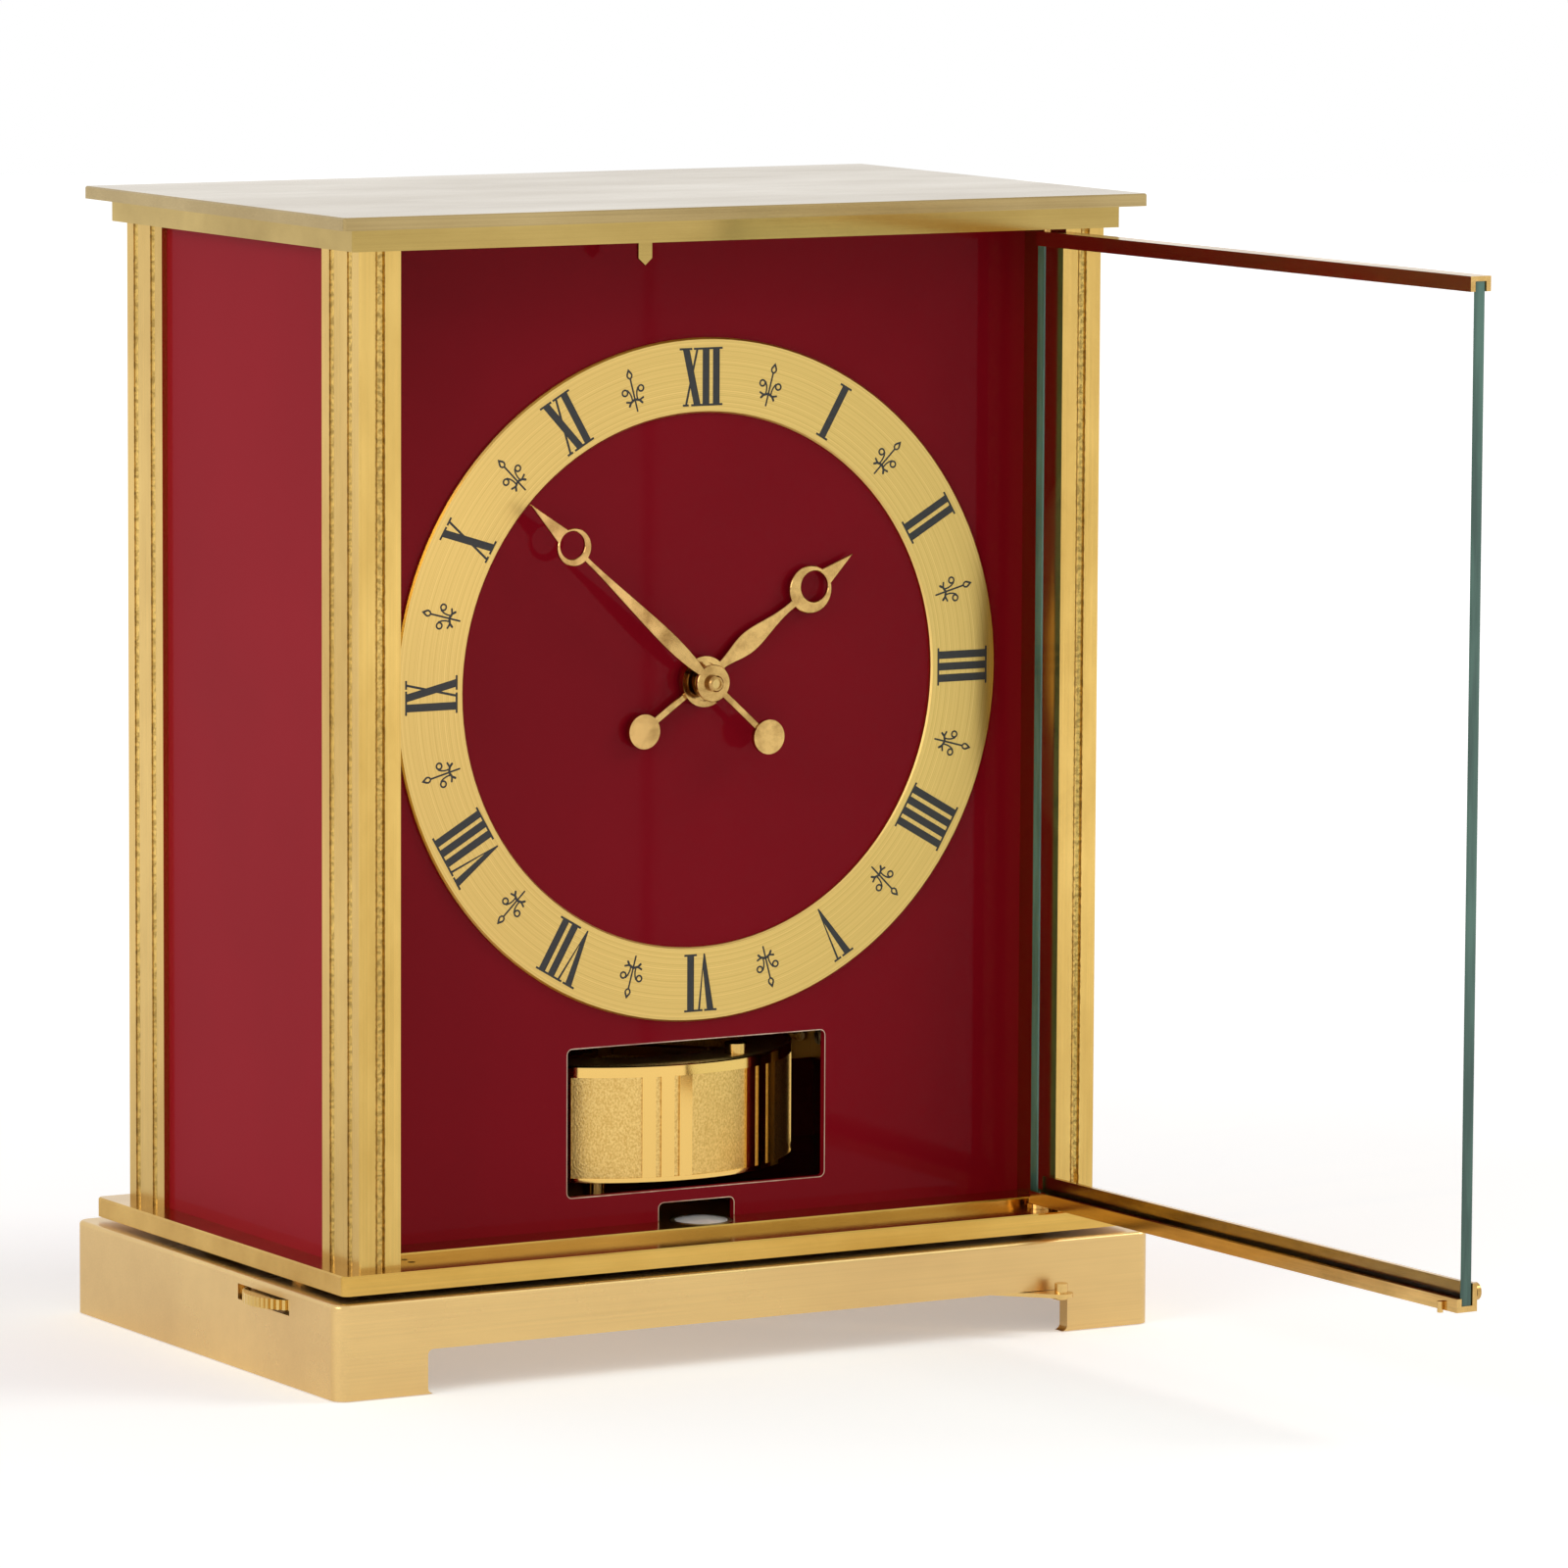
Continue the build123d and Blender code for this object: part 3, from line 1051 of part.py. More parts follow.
# Door: two brass channels grip the glass at top and bottom and turn on two pins
def channel_base(z, height):
    """A channel's full section, round at the hinge end."""
    with BuildSketch(hinge_plane(z)) as section:
        mid = (DOOR_INNER + DOOR_OUTER) / 2
        with Locations((DOOR_LENGTH / 2, mid)):
            Rectangle(DOOR_LENGTH, DOOR_OUTER - DOOR_INNER)
        with Locations((0, mid)):
            Circle((DOOR_OUTER - DOOR_INNER) / 2)
    extrude(section.sketch, amount=height)


def cut_glass_slot(bottom, top):
    """The slot between a channel's legs, open at both ends."""
    with BuildSketch(hinge_plane(bottom)) as section:
        with Locations((DOOR_LENGTH / 2, (GLASS_INNER + GLASS_OUTER) / 2)):
            Rectangle(DOOR_LENGTH + 10, GLASS_OUTER - GLASS_INNER)
    extrude(section.sketch, amount=top - bottom, mode=Mode.SUBTRACT)


def pin_hole(z, height):
    """The hole that holds a hinge pin."""
    with BuildSketch(hinge_plane(z)) as section:
        Circle(PIN_RADIUS)
    extrude(section.sketch, amount=height, mode=Mode.SUBTRACT)


with BuildPart() as door_top_channel:
    channel_base(224.3, DOOR_TOP - 224.3)
    cut_glass_slot(224.3, GLASS_TOP)
    pin_hole(GLASS_TOP, DOOR_TOP - GLASS_TOP)
save(door_top_channel, "door_top_channel")

INNER_LEG_TOP = 28.1
OUTER_LEG_TOP = 31.0
NIB_AT = 145.65
with BuildPart() as door_bottom_channel:
    channel_base(DOOR_BOTTOM, INNER_LEG_TOP - DOOR_BOTTOM)
    with BuildSketch(hinge_plane(INNER_LEG_TOP)):
        with Locations((DOOR_LENGTH / 2, DOOR_OUTER - CHANNEL_LEG / 2)):
            Rectangle(DOOR_LENGTH, CHANNEL_LEG)
    extrude(amount=OUTER_LEG_TOP - INNER_LEG_TOP)
    cut_glass_slot(GLASS_BOTTOM, OUTER_LEG_TOP)
    pin_hole(DOOR_BOTTOM, GLASS_BOTTOM - DOOR_BOTTOM)
    with BuildSketch(hinge_plane(24.9)):
        with Locations((NIB_AT, DOOR_INNER - 0.45)):
            Circle(0.6)
    extrude(amount=2.2)
save(door_bottom_channel, "door_bottom_channel")

with BuildPart() as door_glass:
    with BuildSketch(hinge_plane(GLASS_BOTTOM)):
        with Locations(((150.4 - 2.0) / 2, (GLASS_INNER + GLASS_OUTER) / 2)):
            Rectangle(152.4, GLASS_OUTER - GLASS_INNER)
    extrude(amount=GLASS_TOP - GLASS_BOTTOM)
    chamfer(door_glass.edges().filter_by(Axis.Z), 0.3)
save(door_glass, "door_glass")

with BuildPart() as door_knob:
    with Locations(hinge_plane(0).location * Location((148.6, DOOR_OUTER, 29.0), (-90, 0, 0))):
        Cylinder(1.1, 0.5, align=UP)
    with Locations(hinge_plane(0).location * Location((148.6, DOOR_OUTER + 0.3, 29.0), (-90, 0, 0))):
        Cylinder(1.8, 0.9, align=UP)
save(door_knob, "door_knob")

with BuildPart() as door_pins:
    with Locations((HINGE_X, HINGE_Y, 21.9)):
        Cylinder(PIN_RADIUS, GLASS_BOTTOM - 21.9, align=UP)
    with Locations((HINGE_X, HINGE_Y, FLOOR_TOP + RUN)):
        Cylinder(2.4, DOOR_BOTTOM - FLOOR_TOP - RUN, align=UP)
    with Locations((HINGE_X, HINGE_Y, GLASS_TOP)):
        Cylinder(PIN_RADIUS, 4.1, align=UP)
save(door_pins, "door_pins")

# Levelling wheels: knurled discs whose screws bear under the floor plate
KNURLS = 60
for wheel_name, wheel_side in (("left_levelling_wheel", -1), ("right_levelling_wheel", 1)):
    knurl_points = []
    for k in range(KNURLS):
        for radius, share in ((WHEEL_RADIUS, 0.0), (WHEEL_RADIUS, 0.5), (WHEEL_RADIUS - 0.5, 0.75)):
            a = 2 * pi * (k + share) / KNURLS
            knurl_points.append((radius * cos(a), radius * sin(a)))
    wheel_spot = (wheel_side * WHEEL_X, WHEEL_Y)
    with BuildPart() as levelling_wheel:
        with BuildSketch(level(WHEEL_BOTTOM)):
            with Locations(wheel_spot):
                Polygon(*knurl_points, align=None)
        extrude(amount=WHEEL_TOP - WHEEL_BOTTOM)
        with Locations((*wheel_spot, LEDGE_TOP + RUN)):
            Cylinder(4.0, WHEEL_BOTTOM - LEDGE_TOP - RUN, align=UP)
        with Locations((*wheel_spot, WHEEL_TOP)):
            Cylinder(2.5, 23.4 - WHEEL_TOP, align=UP)
    save(levelling_wheel, wheel_name)

# Pendulum lock: the lever's ramp lifts the plunger, whose pad then holds the pendulum up
RAMP_RADIUS = hypot(LEVER_X, PENDULUM_Y - LEVER_Y)
RAMP_START = degrees(atan2(PENDULUM_Y - LEVER_Y, -LEVER_X))
RAMP_SWEEP = 22.0
RAMP_STEPS = 11
RAMP_HIGH = 10.9
RAMP_HALF_WIDTH = 2.4


def ramp_point(reach, turn):
    """A point on the lever, by its distance from the pivot and its angle from the ramp's top."""
    a = radians(RAMP_START + turn)
    return (LEVER_X + reach * cos(a), LEVER_Y + reach * sin(a))


with BuildPart() as lock_lever:
    with BuildSketch(level(LEVER_BOTTOM)):
        with Locations((LEVER_X, LEVER_Y)):
            Circle(5.0)
        for end_x, end_y, width in ((GRIP_X, GRIP_Y, 5.0), (0.0, PENDULUM_Y, 6.0)):
            length = hypot(end_x - LEVER_X, end_y - LEVER_Y)
            turn = degrees(atan2(end_y - LEVER_Y, end_x - LEVER_X))
            with Locations(((end_x + LEVER_X) / 2, (end_y + LEVER_Y) / 2)):
                SlotCenterToCenter(length, width, rotation=turn)
        with BuildLine():
            pad_turns = (-4.0, RAMP_SWEEP / 2, RAMP_SWEEP + 3.0)
            outer_arc = [ramp_point(RAMP_RADIUS + 3.0, turn) for turn in pad_turns]
            inner_arc = [ramp_point(RAMP_RADIUS - 3.0, turn) for turn in pad_turns]
            ThreePointArc(*outer_arc)
            Line(outer_arc[2], inner_arc[2])
            ThreePointArc(inner_arc[2], inner_arc[1], inner_arc[0])
            Line(inner_arc[0], outer_arc[0])
        make_face()
        with Locations((LEVER_X, LEVER_Y)):
            Circle(2.0 + RUN, mode=Mode.SUBTRACT)
    extrude(amount=LEVER_TOP - LEVER_BOTTOM)
    for step in range(RAMP_STEPS):
        height = (RAMP_HIGH - LEVER_TOP) * (1 - step / RAMP_STEPS)
        first = -3.5 if step == 0 else RAMP_SWEEP * step / RAMP_STEPS - 1.0
        last = RAMP_SWEEP * (step + 1) / RAMP_STEPS
        with BuildSketch(level(LEVER_TOP)):
            Polygon(
                ramp_point(RAMP_RADIUS - RAMP_HALF_WIDTH, first),
                ramp_point(RAMP_RADIUS + RAMP_HALF_WIDTH, first),
                ramp_point(RAMP_RADIUS + RAMP_HALF_WIDTH, last),
                ramp_point(RAMP_RADIUS - RAMP_HALF_WIDTH, last),
                align=None,
            )
        extrude(amount=height)
    with Locations((GRIP_X, GRIP_Y, 7.6)):
        Cylinder(1.35, 3.3, align=UP)
save(lock_lever, "lock_lever")

with BuildPart() as lock_plunger:
    with Locations((0, PENDULUM_Y, PLUNGER_FOOT)):
        Cylinder(PLUNGER_TIP_RADIUS, PAD_TOP - PLUNGER_FOOT, align=UP)
    with Locations((0, PENDULUM_Y, PLUNGER_FOOT + PLUNGER_TIP_LENGTH)):
        Cylinder(2.5, PAD_TOP - PLUNGER_FOOT - PLUNGER_TIP_LENGTH, align=UP)
    with Locations((0, PENDULUM_Y, PAD_TOP - 2.0)):
        Cylinder(6.0, 2.0, align=UP)
save(lock_plunger, "lock_plunger")
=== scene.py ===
from math import cos, radians, sin

import bmesh
import bpy
from mathutils import Matrix, Vector


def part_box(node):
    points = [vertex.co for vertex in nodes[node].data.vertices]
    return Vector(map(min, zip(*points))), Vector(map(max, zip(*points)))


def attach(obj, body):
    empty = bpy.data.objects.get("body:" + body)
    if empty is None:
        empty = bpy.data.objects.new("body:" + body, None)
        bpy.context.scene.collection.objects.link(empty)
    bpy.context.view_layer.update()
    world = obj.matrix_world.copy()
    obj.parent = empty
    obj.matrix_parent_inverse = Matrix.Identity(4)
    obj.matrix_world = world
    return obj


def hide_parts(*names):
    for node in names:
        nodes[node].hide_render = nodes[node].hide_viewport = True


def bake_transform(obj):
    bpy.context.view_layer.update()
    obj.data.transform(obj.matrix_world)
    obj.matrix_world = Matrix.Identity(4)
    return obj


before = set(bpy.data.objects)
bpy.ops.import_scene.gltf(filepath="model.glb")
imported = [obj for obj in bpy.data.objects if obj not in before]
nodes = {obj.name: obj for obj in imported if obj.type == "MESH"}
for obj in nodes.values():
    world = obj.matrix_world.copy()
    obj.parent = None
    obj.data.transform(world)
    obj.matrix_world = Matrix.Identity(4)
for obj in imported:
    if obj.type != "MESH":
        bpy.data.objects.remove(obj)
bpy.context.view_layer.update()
scene = bpy.context.scene
scene.view_settings.view_transform = "Standard"

# The plinth: a hollow base of rolled brass sheet, soldered at the corners, with bracket feet.
# Its faces were brushed lengthwise and lacquered, and years of wiping have left soft blotches.
def new_material(name):
    """A fresh material, with its node tree and its main shader."""
    material = bpy.data.materials.new(name)
    material.use_nodes = True
    return material, material.node_tree, material.node_tree.nodes["Principled BSDF"]


def add(tree, kind, **settings):
    """One shader node, with its settings; sockets are given by their names with underscores."""
    node = tree.nodes.new("ShaderNode" + kind)
    for key, value in settings.items():
        if hasattr(node, key):
            setattr(node, key, value)
        else:
            node.inputs[key.replace("_", " ")].default_value = value
    return node


def grain_noise(tree, spread, detail=4.0, roughness=0.6):
    """Noise in the metal's own frame, with a different scale along each axis."""
    place = add(tree, "TexCoord")
    stretch = add(tree, "Mapping", Scale=spread)
    noise = add(tree, "TexNoise", Scale=1.0, Detail=detail, Roughness=roughness)
    tree.links.new(place.outputs["Object"], stretch.inputs["Vector"])
    tree.links.new(stretch.outputs["Vector"], noise.inputs["Vector"])
    return noise.outputs["Fac"]


def remap(tree, value, low, high, to_low, to_high):
    """A value carried from one range to another, and held inside it."""
    spread = add(tree, "MapRange", From_Min=low, From_Max=high, To_Min=to_low, To_Max=to_high)
    tree.links.new(value, spread.inputs["Value"])
    return spread.outputs["Result"]


def blend_colours(tree, share, first, second):
    """A colour between two, by a share; either may be a socket."""
    mix = add(tree, "Mix", data_type="RGBA")
    tree.links.new(share, mix.inputs["Factor"])
    for name, colour in (("A", first), ("B", second)):
        socket = [s for s in mix.inputs if s.name == name and s.type == "RGBA"][0]
        if isinstance(colour, tuple):
            socket.default_value = (*colour, 1.0)
        else:
            tree.links.new(colour, socket)
    return [s for s in mix.outputs if s.type == "RGBA"][0]


BRUSH_LINES = 2400.0
BRUSH_STROKES = 12.0


def brushed_brass(name, bright, dull, rough, along, lines=0.08, relief=0.12, blotch_size=0.05):
    """Brass brushed along one axis (0, 1 or 2), with soft blotches where the lacquer has aged."""
    material, tree, shader = new_material(name)
    shader.inputs["Metallic"].default_value = 1.0
    fine = [BRUSH_LINES] * 3
    fine[along] = BRUSH_STROKES
    grain = grain_noise(tree, fine, detail=3.0)
    patch = [1.0 / blotch_size] * 3
    patch[along] *= 0.35
    cloud = grain_noise(tree, patch, detail=5.0)
    aged = remap(tree, cloud, 0.35, 0.7, 0.0, 1.0)
    lined = remap(tree, grain, 0.3, 0.7, 1.0 - lines, 1.0)
    colour = blend_colours(tree, aged, bright, dull)
    shade = add(tree, "VectorMath", operation="SCALE")
    tree.links.new(colour, shade.inputs[0])
    tree.links.new(lined, shade.inputs["Scale"])
    tree.links.new(shade.outputs["Vector"], shader.inputs["Base Color"])
    worn = remap(tree, cloud, 0.3, 0.75, rough * 0.8, rough * 1.3)
    tree.links.new(worn, shader.inputs["Roughness"])
    bump = add(tree, "Bump", Strength=relief, Distance=0.00004)
    tree.links.new(grain, bump.inputs["Height"])
    tree.links.new(bump.outputs["Normal"], shader.inputs["Normal"])
    return material


def dress(material, *names):
    """Give CAD pieces their finish."""
    for name in names:
        for holder in nodes[name].material_slots:
            holder.material = material


plinth_brass = brushed_brass(
    "plinth_brass", (0.78, 0.54, 0.22), (0.64, 0.43, 0.18), 0.28, 0,
    lines=0.07, relief=0.03, blotch_size=0.045,
)
dress(plinth_brass, "plinth")

# The levelling wheels: turned brass discs with knurled rims, one in each side of the plinth.
# Their screws bear under the floor plate; the case rests on two turned pads at the back.
wheel_brass = brushed_brass(
    "wheel_brass", (0.80, 0.56, 0.20), (0.64, 0.42, 0.13), 0.20, 2, lines=0.12
)
dress(wheel_brass, "left_levelling_wheel", "right_levelling_wheel", "rear_rest_pads")

# The floor plate: a thick brass plate with a raised step, milled, brushed along its length and
# polished on its narrow edges.
sill_brass = brushed_brass(
    "sill_brass", (0.70, 0.44, 0.11), (0.54, 0.31, 0.06), 0.17, 0, lines=0.10, blotch_size=0.02
)
dress(sill_brass, "floor_plate")

# The spirit level: a turned cup let into the floor plate, with a domed vial. The vial is filled,
# so it shows as a silvery lens with a darker rim.
cup_brass = brushed_brass("cup_brass", (0.45, 0.34, 0.16), (0.20, 0.14, 0.07), 0.30, 2)
dress(cup_brass, "level_cup")
vial_material, vial_tree, vial_shader = new_material("level_vial")
vial_shader.inputs["Metallic"].default_value = 0.15
vial_shader.inputs["Roughness"].default_value = 0.25
vial_shader.inputs["Coat Weight"].default_value = 1.0
vial_shader.inputs["Coat Roughness"].default_value = 0.03
vial_cloud = grain_noise(vial_tree, (260.0, 260.0, 260.0), detail=2.0)
vial_share = remap(vial_tree, vial_cloud, 0.35, 0.65, 0.0, 1.0)
vial_tone = blend_colours(vial_tree, vial_share, (0.74, 0.76, 0.76), (0.90, 0.92, 0.92))
vial_tree.links.new(vial_tone, vial_shader.inputs["Base Color"])
dress(vial_material, "level_lens")

# The four corner posts: drawn brass bars with coves, brushed along their length. The brush
# doesn't reach into the coves, so specks of tarnish stay there. Screws from above and below
# hold the posts between the floor and the frieze.
POST_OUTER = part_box("front_right_post")[1].x
POST_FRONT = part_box("back_right_post")[1].y
POST_WIDTH = POST_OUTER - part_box("front_right_post")[0].x
POST_DEPTH = POST_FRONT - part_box("back_right_post")[0].y
COVE_INSET = 0.0043
COVE_REACH = 0.00125
COVE_EDGE = COVE_REACH * 0.84
TARNISH = (0.24, 0.15, 0.04)
post_brass = brushed_brass(
    "post_brass", (0.70, 0.47, 0.14), (0.54, 0.34, 0.085), 0.20, 2, lines=0.12, blotch_size=0.02
)
post_tree = post_brass.node_tree
post_shader = post_tree.nodes["Principled BSDF"]
post_place = add(post_tree, "TexCoord")
post_fold = add(post_tree, "VectorMath", operation="ABSOLUTE")
post_flat = add(post_tree, "VectorMath", operation="MULTIPLY")
post_flat.inputs[1].default_value = (1.0, 1.0, 0.0)
post_tree.links.new(post_place.outputs["Object"], post_fold.inputs[0])
post_tree.links.new(post_fold.outputs["Vector"], post_flat.inputs[0])
nearest = None
for cove in (
    (POST_OUTER, POST_FRONT - COVE_INSET, 0.0),
    (POST_OUTER, POST_FRONT - POST_DEPTH + COVE_INSET, 0.0),
    (POST_OUTER - POST_WIDTH / 2, POST_FRONT, 0.0),
):
    away = add(post_tree, "VectorMath", operation="DISTANCE")
    away.inputs[1].default_value = cove
    post_tree.links.new(post_flat.outputs["Vector"], away.inputs[0])
    if nearest is None:
        nearest = away.outputs["Value"]
    else:
        least = add(post_tree, "Math", operation="MINIMUM")
        post_tree.links.new(nearest, least.inputs[0])
        post_tree.links.new(away.outputs["Value"], least.inputs[1])
        nearest = least.outputs["Value"]
in_cove = remap(post_tree, nearest, COVE_EDGE, COVE_REACH, 1.0, 0.0)
specks = grain_noise(post_tree, (900.0, 900.0, 1100.0), detail=4.0)
beads = remap(post_tree, specks, 0.42, 0.62, 0.0, 0.75)
tarnish = add(post_tree, "Math", operation="MULTIPLY")
post_tree.links.new(in_cove, tarnish.inputs[0])
post_tree.links.new(beads, tarnish.inputs[1])
clean = post_shader.inputs["Base Color"].links[0].from_socket
post_tone = blend_colours(post_tree, tarnish.outputs["Value"], clean, TARNISH)
post_tree.links.new(post_tone, post_shader.inputs["Base Color"])
dress(post_brass, "front_left_post", "front_right_post", "back_left_post", "back_right_post")

# The panels: thin metal sheets in deep red lacquer, flatted and polished. The sides stand in
# slots in the posts, the dial plate is screwed on behind the front posts.
def red_lacquer(name, painted_light_scale, gloss):
    """A deep red coat under a clear polished one, with the faintest ripple; the first number scales its
    colour, as painted light or painted shade.
    """
    material, tree, shader = new_material(name)
    cloud = grain_noise(tree, (14.0, 14.0, 14.0), detail=3.0)
    tone = blend_colours(
        tree,
        remap(tree, cloud, 0.3, 0.7, 0.0, 1.0),
        (0.27 * painted_light_scale, 0.0022 * painted_light_scale, 0.011 * painted_light_scale),
        (0.24 * painted_light_scale, 0.0018 * painted_light_scale, 0.009 * painted_light_scale),
    )
    tree.links.new(tone, shader.inputs["Base Color"])
    shader.inputs["Roughness"].default_value = 0.55
    shader.inputs["Specular IOR Level"].default_value = 0.03
    shader.inputs["Coat Weight"].default_value = gloss
    shader.inputs["Coat Roughness"].default_value = 0.06
    shader.inputs["Coat IOR"].default_value = 1.5
    ripple = grain_noise(tree, (160.0, 160.0, 160.0), detail=2.0)
    bump = add(tree, "Bump", Strength=0.03, Distance=0.0001)
    tree.links.new(ripple, bump.inputs["Height"])
    tree.links.new(bump.outputs["Normal"], shader.inputs["Coat Normal"])
    return material


# One lacquer in two copies. In the clock both are the same red. The side and back panels are scaled
# lighter as painted light, and the dial darker as painted shade.
side_lacquer_painted_light = red_lacquer("side_lacquer_painted_light", 1.18, 0.12)
dress(side_lacquer_painted_light, "left_side_panel", "right_side_panel", "back_panel")
dial_lacquer_painted_shade = red_lacquer("dial_lacquer_painted_shade", 0.84, 0.10)
dress(dial_lacquer_painted_shade, "dial_plate")

# The rim of the pendulum window and of the notch below it: where the lacquer stops at the cut
# edges of the dial plate, a hair of bare, handled metal shows.
RIM_WIDTH = 0.0002
RIM_RISE = 0.00003
WINDOW_HALF_WIDTH = 0.0302
WINDOW_BOTTOM = 0.0325
WINDOW_TOP = 0.0630
NOTCH_HALF_WIDTH = 0.0088
NOTCH_BOTTOM = 0.0261
NOTCH_TOP = 0.0298
CORNER_ROUND = 0.0011
CORNER_STEPS = 6


def rounded_outline(half_width, low, high, corner, spread):
    """Points round an upright rectangle, clockwise from the lower left, spread outwards."""
    reach = corner + spread
    points = []
    corners = ((-1, low, 270.0), (-1, high, 180.0), (1, high, 90.0), (1, low, 0.0))
    for side_x, edge_z, first in corners:
        middle_x = side_x * (half_width - corner)
        middle_z = edge_z + corner * (1 if edge_z == low else -1)
        for step in range(CORNER_STEPS + 1):
            angle = radians(first - 90.0 / CORNER_STEPS * step)
            points.append((middle_x + reach * cos(angle), middle_z + reach * sin(angle)))
    return points


def bare_rim(name, half_width, low, high, is_open):
    """A flat hair line of metal round an opening, left open at the bottom for a notch."""
    form = bmesh.new()
    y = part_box("dial_plate")[0].y - RIM_RISE
    inner = rounded_outline(half_width, low, high, CORNER_ROUND, 0.0)
    outer = rounded_outline(half_width, low, high, CORNER_ROUND, RIM_WIDTH)
    if is_open:
        upper = slice(CORNER_STEPS + 1, 3 * (CORNER_STEPS + 1))
        inner = inner[upper]
        outer = outer[upper]
        inner = [(inner[0][0], low)] + inner + [(inner[-1][0], low)]
        outer = [(outer[0][0], low)] + outer + [(outer[-1][0], low)]
    line = [[form.verts.new((x, y, z)) for x, z in pair] for pair in zip(inner, outer)]
    count = len(line) - 1 if is_open else len(line)
    for k in range(count):
        near, far = line[k], line[(k + 1) % len(line)]
        form.faces.new((near[0], near[1], far[1], far[0]))
    form.faces.ensure_lookup_table()
    form.normal_update()
    if form.faces[0].normal.y > 0:
        bmesh.ops.reverse_faces(form, faces=form.faces)
    mesh = bpy.data.meshes.new(name)
    form.to_mesh(mesh)
    form.free()
    rim = bpy.data.objects.new(name, mesh)
    scene.collection.objects.link(rim)
    mesh.materials.append(rim_metal)
    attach(rim, "case")


rim_metal = brushed_brass(
    "rim_metal", (0.70, 0.52, 0.40), (0.36, 0.18, 0.14), 0.40, 2, lines=0.3, blotch_size=0.008
)
bare_rim("window_rim", WINDOW_HALF_WIDTH, WINDOW_BOTTOM, WINDOW_TOP, False)
bare_rim("notch_rim", NOTCH_HALF_WIDTH, NOTCH_BOTTOM, NOTCH_TOP, True)

# The chapter ring: a flat brass ring, turned on the lathe so that its face carries fine
# concentric lines. Numerals and half-hour ornaments are engraved and filled with black.
ring_material, ring_tree, ring_shader = new_material("chapter_brass")
ring_shader.inputs["Metallic"].default_value = 1.0
ring_shader.inputs["Anisotropic"].default_value = 0.75
ring_centre_z = sum(corner.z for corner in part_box("chapter_ring")) / 2
ring_place = add(ring_tree, "TexCoord")
ring_shift = add(ring_tree, "VectorMath", operation="SUBTRACT")
ring_shift.inputs[1].default_value = (0.0, 0.0, ring_centre_z)
ring_flat = add(ring_tree, "VectorMath", operation="MULTIPLY")
ring_flat.inputs[1].default_value = (1.0, 0.0, 1.0)
ring_reach = add(ring_tree, "VectorMath", operation="LENGTH")
ring_tree.links.new(ring_place.outputs["Object"], ring_shift.inputs[0])
ring_tree.links.new(ring_shift.outputs["Vector"], ring_flat.inputs[0])
ring_tree.links.new(ring_flat.outputs["Vector"], ring_reach.inputs[0])
ring_lines = add(ring_tree, "TexNoise", noise_dimensions="1D", Scale=3200.0, Detail=3.0)
ring_tree.links.new(ring_reach.outputs["Value"], ring_lines.inputs["W"])
ring_share = remap(ring_tree, ring_lines.outputs["Fac"], 0.3, 0.7, 0.0, 1.0)
ring_tone = blend_colours(ring_tree, ring_share, (0.74, 0.51, 0.17), (0.60, 0.40, 0.12))
ring_tree.links.new(ring_tone, ring_shader.inputs["Base Color"])
ring_rough = remap(ring_tree, ring_lines.outputs["Fac"], 0.3, 0.7, 0.30, 0.38)
ring_tree.links.new(ring_rough, ring_shader.inputs["Roughness"])
ring_bump = add(ring_tree, "Bump", Strength=0.10, Distance=0.00004)
ring_tree.links.new(ring_lines.outputs["Fac"], ring_bump.inputs["Height"])
ring_tree.links.new(ring_bump.outputs["Normal"], ring_shader.inputs["Normal"])
ring_tangent = add(ring_tree, "Tangent", direction_type="RADIAL", axis="Y")
ring_tree.links.new(ring_tangent.outputs["Tangent"], ring_shader.inputs["Tangent"])
dress(ring_material, "chapter_ring")

filling, filling_tree, filling_shader = new_material("black_filling")
filling_cloud = grain_noise(filling_tree, (900.0, 900.0, 900.0), detail=2.0)
filling_tone = blend_colours(filling_tree, filling_cloud, (0.006, 0.006, 0.007), (0.018, 0.016, 0.016))
filling_tree.links.new(filling_tone, filling_shader.inputs["Base Color"])
filling_shader.inputs["Roughness"].default_value = 0.38
dress(filling, "hour_numerals", "half_hour_marks")

# The movement: brass plates on two square columns, with pillars, wheels and the bellows drum
# between and behind them. The brass is lacquered, the screws, wire and anchor are steel.
movement_brass = brushed_brass("movement_brass", (0.70, 0.48, 0.18), (0.55, 0.36, 0.12), 0.32, 2)
dress(
    movement_brass,
    "support_columns", "movement_front_plate", "movement_back_plate", "movement_pillars", "drum_pillars",
    "bellows_drum", "bellows_capsule", "suspension_head", "suspension_tube", "cannon_pinion",
    "centre_wheel", "hour_wheel", "minute_wheel", "escape_wheel", "mainspring_barrel", "push_plate",
    "guide_pulley", "winding_drum", "back_panel_brackets",
)
steel, steel_tree, steel_shader = new_material("bright_steel")
steel_shader.inputs["Metallic"].default_value = 1.0
steel_shader.inputs["Roughness"].default_value = 0.28
steel_cloud = grain_noise(steel_tree, (700.0, 700.0, 700.0))
steel_tone = blend_colours(steel_tree, steel_cloud, (0.48, 0.48, 0.49), (0.62, 0.61, 0.60))
steel_tree.links.new(steel_tone, steel_shader.inputs["Base Color"])
dress(steel, "frame_screws", "suspension_wire", "bellows_spring", "winding_chain", "anchor_fork")

# The bellows capsule, a corrugated brass can, and the steel coil spring that it works against: in the
# clock one end of each stands still, and the other goes with the push plate between them. Here each is
# only copied whole into a loose mesh in its place, and the imported piece is hidden.
for name, fixed, moving in (("bellows_capsule", 1, 0), ("bellows_spring", 0, 1)):
    still = nodes[name]
    springy = still.copy()
    springy.data = still.data.copy()
    springy.name = name + "_springy"
    springy.parent = None
    springy.matrix_world = still.matrix_world
    scene.collection.objects.link(springy)
    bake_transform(springy)
    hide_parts(name)

